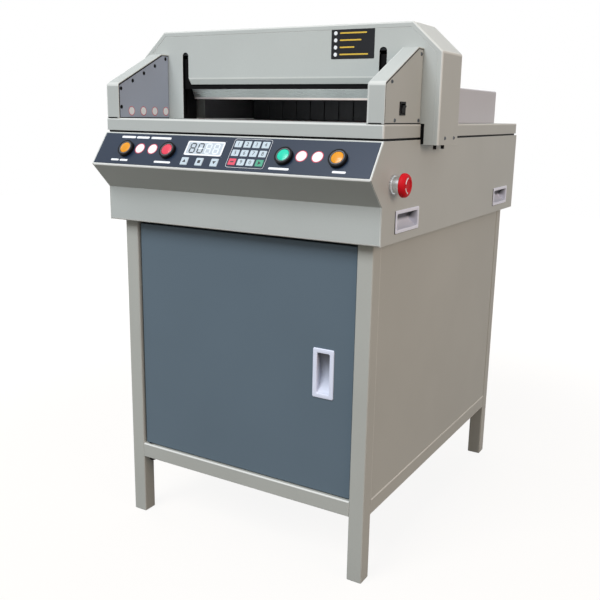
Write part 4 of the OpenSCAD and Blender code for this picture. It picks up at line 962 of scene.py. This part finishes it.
def numeral(form, place, text, rise):
    """A plain number as flat print."""
    words = bpy.data.curves.new("numeral", "FONT")
    words.body = text
    words.size = NUMERAL
    words.align_x = "CENTER"
    words.align_y = "CENTER"
    words.extrude = rise
    source = new_piece("numeral", words)
    mesh = plain_mesh(source)
    mesh.transform(place)
    form.from_mesh(mesh)
    bpy.data.objects.remove(source)
    bpy.data.curves.remove(words)
    bpy.data.meshes.remove(mesh)


def key_places(panel):
    """The twelve keys of the pad, row by row from the top, and the three keys under the display."""
    sizes = bpy.context.scene.cutter_sizes
    pad = [
        shifted(panel, sizes.keypad_x + (column - 1.5) * sizes.key_pitch,
                sizes.keypad_up + (1 - row) * sizes.row_pitch)
        for row in range(3) for column in range(4)
    ]
    window = panel.inverted() @ middle("display_window")
    soft = [shifted(panel, window.x + side * sizes.soft_pitch, sizes.soft_up) for side in (-1, 0, 1)]
    return pad, soft


class CUTTER_OT_keys(bpy.types.Operator):
    """Set the key tops and their numbers"""

    bl_idname = "cutter.keys"
    bl_label = "Keys"

    def execute(self, context):
        sizes = context.scene.cutter_sizes
        pad, soft = key_places(panel_place())
        red, green = pad[RED_KEY], pad[GREEN_KEY]
        numbered = [place for i, place in enumerate(pad) if i not in (RED_KEY, GREEN_KEY)]
        tree = scatter_tree("Key tops", ("Side", "Tall", "Rise"), key_shape)
        for name, places, tall, key in (
            ("pale_keys", numbered, sizes.key_tall, "key_plastic"),
            ("soft_keys", soft, sizes.soft_tall, "key_plastic"),
            ("red_key", [red], sizes.key_tall, "red_key"),
            ("green_key", [green], sizes.key_tall, "green_key"),
        ):
            shape = {"Side": sizes.key, "Tall": tall, "Rise": sizes.key_rise}
            scatter(name, tree, places, shape, key, "overlay_film")
        form = bmesh.new()
        for place, number in zip(numbered, "1234567890"):
            numeral(form, shifted(place, 0, 0, sizes.key_rise), number, sizes.print_rise)
        for place, outline, turn in (
            (soft[0], ARROW, 0), (soft[1], BOX, 0), (soft[2], ARROW, pi),
            (red, DASH, 0), (green, ARROW, -pi / 2),
        ):
            top = shifted(place, 0, 0, sizes.key_rise) @ Matrix.Rotation(turn, 4, "Z")
            plate(form, top, outline, sizes.print_rise)
        bmesh.ops.remove_doubles(form, verts=form.verts, dist=MERGE)
        piece_of(form, "key_numbers", ["dark_ink"], "frame", "overlay_film")
        return {"FINISHED"}


# Buttons

CAP_STEM = 5.5 * MM
CAP_EASE = 0.9 * MM
CAP_GAP = 0.6 * MM
CAP_WIDE = 0.99
CAP_DOME = (0.8, 0.6, 0.4, 0.2, 0.05)
RING_WIDE = 1.7 * MM
RING_SINK = 0.5 * MM
# The head's turned outline, as shares of its radius and of its height
HEAD_PROFILE = (
    (0.48, 0.0), (0.88, 0.0), (0.96, 0.05), (1.0, 0.16), (1.0, 0.42), (0.975, 0.6), (0.92, 0.76),
    (0.83, 0.89), (0.74, 0.96), (0.66, 0.985), (0.6, 1.0), (0.54, 0.98), (0.5, 0.9), (0.3, 0.87),
    (0.04, 0.86),
)
TWIST_MARKS = ((radians(102), radians(166)), (radians(196), radians(258)))
TWIST_STEPS = 12
TWIST_RING = (0.58, 0.67)
TWIST_FOOT = 0.92
TWIST_RISE = 0.1


class CUTTER_OT_buttons(bpy.types.Operator):
    """Turn the four domed caps and finish their bezels"""

    bl_idname = "cutter.buttons"
    bl_label = "Buttons"

    def execute(self, context):
        sizes = context.scene.cutter_sizes
        rounded(sizes.moulding, sizes.rim / 2, "button_bezels")
        panel = panel_place()
        bezel = [panel.inverted() @ vertex.co for vertex in NODES["button_bezels"].data.vertices]
        rings = bmesh.new()
        for node in CAPS:
            low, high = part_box(node)
            radius = (high.x - low.x) / 2
            points = [panel.inverted() @ vertex.co for vertex in NODES[node].data.vertices]
            spot = sum(points, Vector()) / len(points)
            place = shifted(panel, spot.x, spot.y)
            top, end = max(p.z for p in points), min(p.z for p in points)
            wide = [p.z for p in points if (p.xy - spot.xy).length > CAP_WIDE * radius]
            foot, crown = min(wide), max(wide)
            profile = [(CAP_STEM, end), (CAP_STEM, foot), (radius, foot)]
            profile += [(radius - CAP_EASE * (1 - cos(a)), crown - CAP_EASE * (1 - sin(a))) for a in QUARTER]
            profile += [((radius - CAP_EASE) * share, crown + (top - crown) * (1 - share ** 2))
                        for share in CAP_DOME]
            # Each cap gets a grey ring in its bezel: a painted highlight where the bezel's rim catches light.
            rim_top = max(p.z for p in bezel if (p.xy - spot.xy).length < 2 * radius)
            ring_in = radius + CAP_GAP
            frame_line(rings, shifted(place, 0, 0, rim_top - RING_SINK), disc(ring_in + RING_WIDE),
                       disc(ring_in), RING_SINK + sizes.print_rise)
            form = bmesh.new()
            lathe(form, place, profile)
            cap = piece_of(form, f"{node}_domed", [SLOT_OF[node]], BODY_OF[node], SLOT_OF[node], node)
            cap.data.set_sharp_from_angle(angle=CREASE)
        piece_of(rings, "button_rings", ["ring_plastic"], "frame", "black_plastic")
        return {"FINISHED"}


class CUTTER_OT_stop_button(bpy.types.Operator):
    """Turn the mushroom stop button and finish its collar"""

    bl_idname = "cutter.stop_button"
    bl_label = "Stop button"

    def execute(self, context):
        sizes = context.scene.cutter_sizes
        rounded(sizes.moulding, sizes.rim / 2, "stop_collar")
        dress("stop_stem")
        low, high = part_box("stop_head")
        tall, radius = high.x - low.x, (high.z - low.z) / 2
        place = facing((1, 0, 0), (low.x, (low.y + high.y) / 2, (low.z + high.z) / 2))
        form = bmesh.new()
        lathe(form, place, [(radius * out, tall * up) for out, up in HEAD_PROFILE])
        for start, end in TWIST_MARKS:
            turns = [start + (end - start) * step / TWIST_STEPS for step in range(TWIST_STEPS + 1)]
            inner, outer = [
                [Vector((cos(a), sin(a))) * radius * reach for a in turns] for reach in TWIST_RING
            ]
            plate(form, place, outer + inner[::-1], TWIST_RISE * tall, 1, TWIST_FOOT * tall)
        head = piece_of(form, "stop_head_domed", ["stop_red", "white_ink"],
                        "stop_mushroom", "stop_red", "stop_head")
        head.data.set_sharp_from_angle(angle=CREASE)
        return {"FINISHED"}


# Table and beam

BED_FACE = 1 * MM
# A black strip behind the gap under each table's skirt: painted shade in the gap.
SHADE_STRIP_IN = 3.3 * MM
SHADE_STRIP_WALL = 1.5 * MM
SHADE_STRIP_LIFT = 0.3 * MM
SHADE_STRIP_TALL = 20 * MM
SLOT_X = 229 * MM
SLOT_HALF = 7.8 * MM
SLOT_FACING = 0.6
LABEL_X = (121 * MM, 211 * MM)
LABEL_Z = (988 * MM, 1043 * MM)
LABEL_CORNER = 2 * MM
LABEL_THICK = 0.3 * MM
LABEL_PRINT = 0.1 * MM
# Shares of the plate's width: its bars, where they begin and where the dots lie; then rows in its height
LABEL_BARS = (0.62, 0.5, 0.34, 0.66)
LABEL_START = 0.3
LABEL_DOT_X = 0.4
LABEL_ROWS = 4.3
LABEL_BAR_TALL = 2.6 * MM
LABEL_BAR_ROUND = 1.2 * MM
LABEL_DOT = 3.6 * MM


def shadow_gap_strip(form, node):
    """A black strip inside a table's skirt that closes the gap over the case from behind: painted shade in the
    gap.
    """
    low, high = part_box(node)
    wide, deep = high.x - low.x - 2 * SHADE_STRIP_IN, high.y - low.y - 2 * SHADE_STRIP_IN
    place = Matrix.Translation((0, (low.y + high.y) / 2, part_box("case_front")[1].z + SHADE_STRIP_LIFT))
    inside = oblong(wide - 2 * SHADE_STRIP_WALL, deep - 2 * SHADE_STRIP_WALL, SHADE_STRIP_WALL / 2)
    frame_line(form, place, oblong(wide, deep, SHADE_STRIP_WALL), inside, SHADE_STRIP_TALL)


class CUTTER_OT_table(bpy.types.Operator):
    """Finish the tables, the bed and the cutting stick"""

    bl_idname = "cutter.table"
    bl_label = "Table"

    def execute(self, context):
        sizes = context.scene.cutter_sizes
        rounded(sizes.fold, sizes.rim, "front_table", "rear_table")
        bed = rounded(sizes.rim, sizes.rim / 2, "cutting_stick", "beam_posts", "top_bar", "cutting_bed")
        # The bed's ends outside the case's sides and its front face take blackened steel: painted shade in the
        # columns and the throat.
        bed.data.materials.append(finish("black_steel"))
        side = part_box("case_right_side")[0].x
        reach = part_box("cutting_bed")[0].y + BED_FACE
        for face in bed.data.polygons:
            if abs(face.center.x) > side or face.center.y < reach:
                face.material_index = 1
        dress("base_plates")
        form = bmesh.new()
        shadow_gap_strip(form, "front_table")
        shadow_gap_strip(form, "rear_table")
        piece_of(form, "table_seals", ["black_plastic"], "frame", "black_plastic")
        return {"FINISHED"}


class CUTTER_OT_beam(bpy.types.Operator):
    """Finish the beam's hood and front, and lay its dark plate"""

    bl_idname = "cutter.beam"
    bl_label = "Beam"

    def execute(self, context):
        sizes = context.scene.cutter_sizes
        rounded(sizes.fold, sizes.rim, "beam_hood")
        sheet = rounded(sizes.fold / 2, sizes.rim, "beam_front")
        # The slot's side walls take black plastic: painted shade in the slot.
        sheet.data.materials.append(finish("black_plastic"))
        for face in sheet.data.polygons:
            in_slot = abs(abs(face.center.x) - SLOT_X) < SLOT_HALF
            if in_slot and abs(face.normal.y) < SLOT_FACING:
                face.material_index = 2
        centre = (sum(LABEL_X) / 2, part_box("beam_front")[0].y, sum(LABEL_Z) / 2)
        place = facing((0, -1, 0), centre)
        wide, tall = LABEL_X[1] - LABEL_X[0], LABEL_Z[1] - LABEL_Z[0]
        form = bmesh.new()
        plate(form, place, oblong(wide, tall, LABEL_CORNER), LABEL_THICK)
        for row, share in enumerate(LABEL_BARS):
            y = tall * ((len(LABEL_BARS) - 1) / 2 - row) / LABEL_ROWS
            bar = shifted(place, wide * (share / 2 - LABEL_START), y)
            outline = oblong(wide * share, LABEL_BAR_TALL, LABEL_BAR_ROUND)
            plate(form, bar, outline, LABEL_PRINT, 1, LABEL_THICK)
            dot = shifted(place, -wide * LABEL_DOT_X, y)
            plate(form, dot, disc(LABEL_DOT), LABEL_PRINT, 2, LABEL_THICK)
        piece_of(form, "beam_plate", ["label_film", "yellow_ink", "white_ink"], "frame", "overlay_film")
        return {"FINISHED"}


# Side guards

# Windows and marks: depth and height of the first and the last in a row, and how many there are
WINDOW_ROW = (Vector((-363 * MM, 930 * MM)), Vector((-224 * MM, 995 * MM)), 5)
WINDOW_LOW = Vector((-363 * MM, 894 * MM))
PLATE_MARKS = (Vector((-334 * MM, 886.5 * MM)), Vector((-227 * MM, 886.5 * MM)), 4)
LENS_SINK = 1.3 * MM
SEAM_SLOPE = 2.4 * MM
SEAM_EDGE = 1.2 * MM
SEAM_FOOT = 1.8 * MM
SEAM_RISE = 0.2 * MM


def spread(first, last, count):
    """Points at even steps from the first to the last."""
    return [first.lerp(last, step / (count - 1)) for step in range(count)]


def plate_seam_shadows(form, node):
    """Black strips along the front, the slope and the foot of a guard's outer plate: painted shade in its seams.
    """
    low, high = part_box(node)
    rim = [vertex.co.yz for vertex in NODES[node].data.vertices if vertex.co.x > high.x - MERGE]
    front = max((p for p in rim if p.x < low.y + MERGE), key=lambda p: p.y)
    crest = min((p for p in rim if p.y > high.z - MERGE), key=lambda p: p.x)
    along = (crest - front).normalized()
    place = facing((1, 0, 0), (high.x, 0, 0))
    for start, end, across in (
        (front, crest, Vector((along.y, -along.x)) * SEAM_SLOPE),
        (crest, high.yz, Vector((0, -SEAM_EDGE))),
        (low.yz, front, Vector((SEAM_SLOPE, 0))),
        (low.yz, Vector((high.y, low.z)), Vector((0, SEAM_FOOT))),
    ):
        plate(form, place, [start, end, end + across, start + across], SEAM_RISE)


class CUTTER_OT_guards(bpy.types.Operator):
    """Finish the side guards, their sensor windows and the rocker switch"""

    bl_idname = "cutter.guards"
    bl_label = "Side guards"

    def execute(self, context):
        sizes = context.scene.cutter_sizes
        rounded(sizes.guard, sizes.rim, "left_guard_shell", "right_guard_shell")
        rounded(sizes.rim, sizes.rim / 2, "left_guard_plate", "right_guard_plate")
        rounded(sizes.moulding / 2, sizes.rim / 2, "switch_frame", "switch_rocker")
        form = bmesh.new()
        for side in ("left", "right"):
            plate_seam_shadows(form, f"{side}_guard_plate")
            low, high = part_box(f"{side}_guard_shell")
            # A black strip along the foot of each shell's front: painted shade where the guard meets the table.
            front = facing((0, -1, 0), ((low.x + high.x) / 2, low.y, low.z))
            half = (high.x - low.x) / 2 - sizes.guard
            corners = ((-half, 0), (half, 0), (half, SEAM_FOOT), (-half, SEAM_FOOT))
            plate(form, front, [Vector(corner) for corner in corners], SEAM_RISE)
        piece_of(form, "guard_seams", ["black_plastic"], "frame", "black_plastic")
        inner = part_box("left_guard_plate")[1].x
        spots = [*spread(*WINDOW_ROW), WINDOW_LOW]
        places = [
            facing((side, 0, 0), (x - side * LENS_SINK, spot.x, spot.y))
            for side, x in ((1, inner), (-1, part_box("right_guard_shell")[0].x)) for spot in spots
        ]
        tree = scatter_tree("Sensor lenses", ("Radius",), lens_shape)
        lenses = scatter("sensor_lenses", tree, places, {"Radius": sizes.window}, "black_plastic",
                         "black_plastic")
        for polygon in lenses.data.polygons:
            polygon.use_smooth = True
        marks = [facing((1, 0, 0), (inner, spot.x, spot.y)) for spot in spread(*PLATE_MARKS)]
        round_marks("plate_marks", marks, sizes.plate_marker)
        return {"FINISHED"}


# Knife, clamp and gauge

BLADE_EASE = (0.3 * MM, 0.15 * MM)
HONED = 4.7 * MM
HONED_FACING = -0.5


class CUTTER_OT_cutting_gear(bpy.types.Operator):
    """Finish the knife, its carrier and the clamp"""

    bl_idname = "cutter.cutting_gear"
    bl_label = "Cutting gear"

    def execute(self, context):
        sizes = context.scene.cutter_sizes
        blade = rounded(*BLADE_EASE, "knife_blade")
        blade.data.materials.append(finish("edge_steel"))
        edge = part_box("knife_blade")[0].z
        # The honed faces take the lighter, warmer steel: partly its polish, partly a painted reflection of the
        # table.
        for face in blade.data.polygons:
            honed = face.normal.y < HONED_FACING and face.center.z < edge + HONED
            face.material_index = 1 if honed else 0
        rounded(sizes.rim, sizes.rim / 2, "knife_carrier", "clamp_bar")
        dress("pull_yoke", "knife_crank", "knife_gearbox", "knife_motor", "clamp_screw", "clamp_motor")
        return {"FINISHED"}


class CUTTER_OT_back_gauge(bpy.types.Operator):
    """Finish the back gauge, its drive and the rear cover"""

    bl_idname = "cutter.back_gauge"
    bl_label = "Back gauge"

    def execute(self, context):
        sizes = context.scene.cutter_sizes
        rounded(sizes.rim, sizes.rim / 2, "back_gauge")
        rounded(sizes.fold, sizes.rim, "rear_cover")
        rounded(sizes.rim, sizes.rim / 2, "rear_cover_hinges")
        dress("gauge_carriage", "gauge_screw", "screw_bearings", "gauge_motor")
        return {"FINISHED"}


# Screws: depth and height of each

PLATE_SCREWS = (
    (-328.5 * MM, 878 * MM), (-224 * MM, 878 * MM), (-345.5 * MM, 941.1 * MM), (-224 * MM, 993 * MM),
)
COLUMN_SCREWS = ((-183.5 * MM, 847 * MM), (-136.5 * MM, 847 * MM))


class CUTTER_OT_screws(bpy.types.Operator):
    """Set the cover screws and finish the bolts under the columns"""

    bl_idname = "cutter.screws"
    bl_label = "Screws"

    def execute(self, context):
        sizes = context.scene.cutter_sizes
        plate_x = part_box("right_guard_plate")[1].x
        column_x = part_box("beam_hood")[1].x
        places = [facing((1, 0, 0), (plate_x, y, z)) for y, z in PLATE_SCREWS]
        places += [
            facing((side, 0, 0), (side * column_x, y, z)) for side in (-1, 1) for y, z in COLUMN_SCREWS
        ]
        tree = scatter_tree("Screw heads", ("Radius", "Rise"), screw_shape)
        shape = {"Radius": sizes.screw, "Rise": sizes.screw_rise}
        scatter("cover_screw_heads", tree, places, shape, "screw_steel", "screw_steel", "cover_screws")
        rounded(sizes.rim, sizes.rim / 2, "post_bolts")
        return {"FINISHED"}


# Stage

CAMERA_AT = (0.8662, -1.5897, 0.8858)
CAMERA_AHEAD = (-0.49152, 0.84012, -0.22937)
CAMERA_ROLL = radians(1.01)
CAMERA_LENS = 47.33
CAMERA_SENSOR = 36
FLOOR_REACH = 6.0
FLOOR_ROUGH = 0.9
# The floor's glow: from and to which distance in metres it grows, and between which strengths
GLOW_REACH = (0.7, 2.2)
GLOW = (0.9, 1.0)
AMBIENT = 0.38
# Lamps: place, aim, side in metres, power in watts and tint
LAMPS = {
    "key_lamp": ((-0.8, -4.5, 5.2), (0, 0, 0.55), 3.2, 338, "#F4F8FF"),
    "fill_lamp": ((3.0, -0.9, 1.5), (0.3, 0, 0.6), 1.6, 31, "#FFE1CE"),
    "top_lamp": ((-1.2, -1.44, 3.47), (0.1, -0.3, 0.85), 1.0, 3, "#FFFFFF"),
    "back_lamp": ((-0.5, 2.6, 2.8), (0, 0, 0.8), 2.4, 18, "#FFFFFF"),
    "left_lamp": ((-3.0, 0.6, 1.5), (-0.3, 0, 0.6), 1.6, 22, "#FFF4EC"),
}


def to_camera(tree):
    """One for rays that show the background: seen, mirrored or passed through glass."""
    path = add(tree, "ShaderNodeLightPath").outputs
    seen = add(
        tree, "ShaderNodeMath", {0: path["Is Camera Ray"], 1: path["Is Glossy Ray"]}, operation="MAXIMUM"
    )
    return add(tree, "ShaderNodeMath", {0: seen, 1: path["Is Transmission Ray"]}, operation="MAXIMUM")


def studio_floor():
    """A pale matt floor that goes white to the eye and keeps the shadow."""
    material = bpy.data.materials.new("Painted studio floor, matt")
    material.use_nodes = True
    tree = material.node_tree
    shader = tree.nodes["Principled BSDF"].inputs
    shader["Base Color"].default_value = (*bpy.context.scene.cutter_colours.floor, 1)
    shader["Roughness"].default_value = FLOOR_ROUGH
    shader["Specular IOR Level"].default_value = 0.0
    shader["Emission Color"].default_value = (1, 1, 1, 1)
    place = add(tree, "ShaderNodeTexCoord").outputs["Object"]
    away = add(tree, "ShaderNodeVectorMath", {0: place}, operation="LENGTH").outputs["Value"]
    near, far = GLOW_REACH
    glow = add(
        tree, "ShaderNodeMapRange",
        {"Value": away, "From Min": near, "From Max": far, "To Min": GLOW[0], "To Max": GLOW[1]},
        interpolation_type="SMOOTHSTEP",
    )
    lift = add(tree, "ShaderNodeMath", {0: to_camera(tree), 1: glow}, operation="MULTIPLY")
    tree.links.new(lift.outputs["Value"], shader["Emission Strength"])
    return material


def studio_world():
    """White to the eye and in reflections, and a soft even light on the object."""
    world = bpy.data.worlds.new("Studio")
    world.use_nodes = True
    tree = world.node_tree
    strength = add(tree, "ShaderNodeMapRange", {"Value": to_camera(tree), "To Min": AMBIENT, "To Max": 1.0})
    sky = tree.nodes["Background"].inputs
    sky["Color"].default_value = (1, 1, 1, 1)
    tree.links.new(strength.outputs["Result"], sky["Strength"])
    return world


def soft_lamp(name, at, aim, size, power, tint):
    """A large square lamp that looks at a point."""
    lamp = bpy.data.lights.new(name, "AREA")
    lamp.size = size
    lamp.energy = power
    lamp.color = rgb(tint)
    holder = new_piece(name, lamp)
    holder.location = at
    holder.rotation_euler = (Vector(aim) - Vector(at)).to_track_quat("-Z", "Y").to_euler()


class CUTTER_OT_stage(bpy.types.Operator):
    """Lay the floor and set the lamps, the background and the camera"""

    bl_idname = "cutter.stage"
    bl_label = "Stage"

    def execute(self, context):
        scene = context.scene
        mesh = bpy.data.meshes.new("floor")
        corners = [(x * FLOOR_REACH, y * FLOOR_REACH, 0) for x, y in ((-1, -1), (1, -1), (1, 1), (-1, 1))]
        mesh.from_pydata(corners, [], [(0, 1, 2, 3)])
        mesh.materials.append(studio_floor())
        new_piece("floor", mesh)
        scene.world = studio_world()
        for name, settings in LAMPS.items():
            soft_lamp(name, *settings)
        scene.view_settings.view_transform = "Standard"
        view = bpy.data.cameras.new("camera")
        view.lens = CAMERA_LENS
        view.sensor_width = CAMERA_SENSOR
        eye = new_piece("camera", view)
        level = Vector(CAMERA_AHEAD).to_track_quat("-Z", "Y").to_matrix().to_4x4()
        eye.matrix_world = Matrix.Translation(CAMERA_AT) @ level @ Matrix.Rotation(CAMERA_ROLL, 4, "Z")
        scene.camera = eye
        return {"FINISHED"}


OPERATORS = (
    CUTTER_OT_stage, CUTTER_OT_stand, CUTTER_OT_door, CUTTER_OT_case, CUTTER_OT_side_pulls,
    CUTTER_OT_control_face, CUTTER_OT_keys, CUTTER_OT_buttons, CUTTER_OT_stop_button, CUTTER_OT_table,
    CUTTER_OT_beam, CUTTER_OT_guards, CUTTER_OT_cutting_gear, CUTTER_OT_back_gauge, CUTTER_OT_screws,
)


class CUTTER_PT_sidebar(bpy.types.Panel):
    """Lists the cutter's sizes, colours and operators"""

    bl_idname = "CUTTER_PT_sidebar"
    bl_label = "Paper Cutter"
    bl_space_type = "VIEW_3D"
    bl_region_type = "UI"
    bl_category = "Paper Cutter"

    def draw(self, context):
        for group in (context.scene.cutter_sizes, context.scene.cutter_colours):
            for name in group.__annotations__:
                self.layout.prop(group, name)
        for operator in OPERATORS:
            self.layout.operator(operator.bl_idname)


CLASSES = (CutterColours, CutterSizes, *OPERATORS, CUTTER_PT_sidebar)


def register():
    for cls in CLASSES:
        bpy.utils.register_class(cls)
    bpy.types.Scene.cutter_colours = PointerProperty(type=CutterColours)
    bpy.types.Scene.cutter_sizes = PointerProperty(type=CutterSizes)


def unregister():
    del bpy.types.Scene.cutter_sizes
    del bpy.types.Scene.cutter_colours
    for cls in reversed(CLASSES):
        bpy.utils.unregister_class(cls)


def main():
    register()
    bpy.ops.cutter.stage()
    bpy.ops.cutter.stand()
    bpy.ops.cutter.door()
    bpy.ops.cutter.case()
    bpy.ops.cutter.side_pulls()
    bpy.ops.cutter.control_face()
    bpy.ops.cutter.keys()
    bpy.ops.cutter.buttons()
    bpy.ops.cutter.stop_button()
    bpy.ops.cutter.table()
    bpy.ops.cutter.beam()
    bpy.ops.cutter.guards()
    bpy.ops.cutter.cutting_gear()
    bpy.ops.cutter.back_gauge()
    bpy.ops.cutter.screws()


if __name__ == "__main__":
    main()
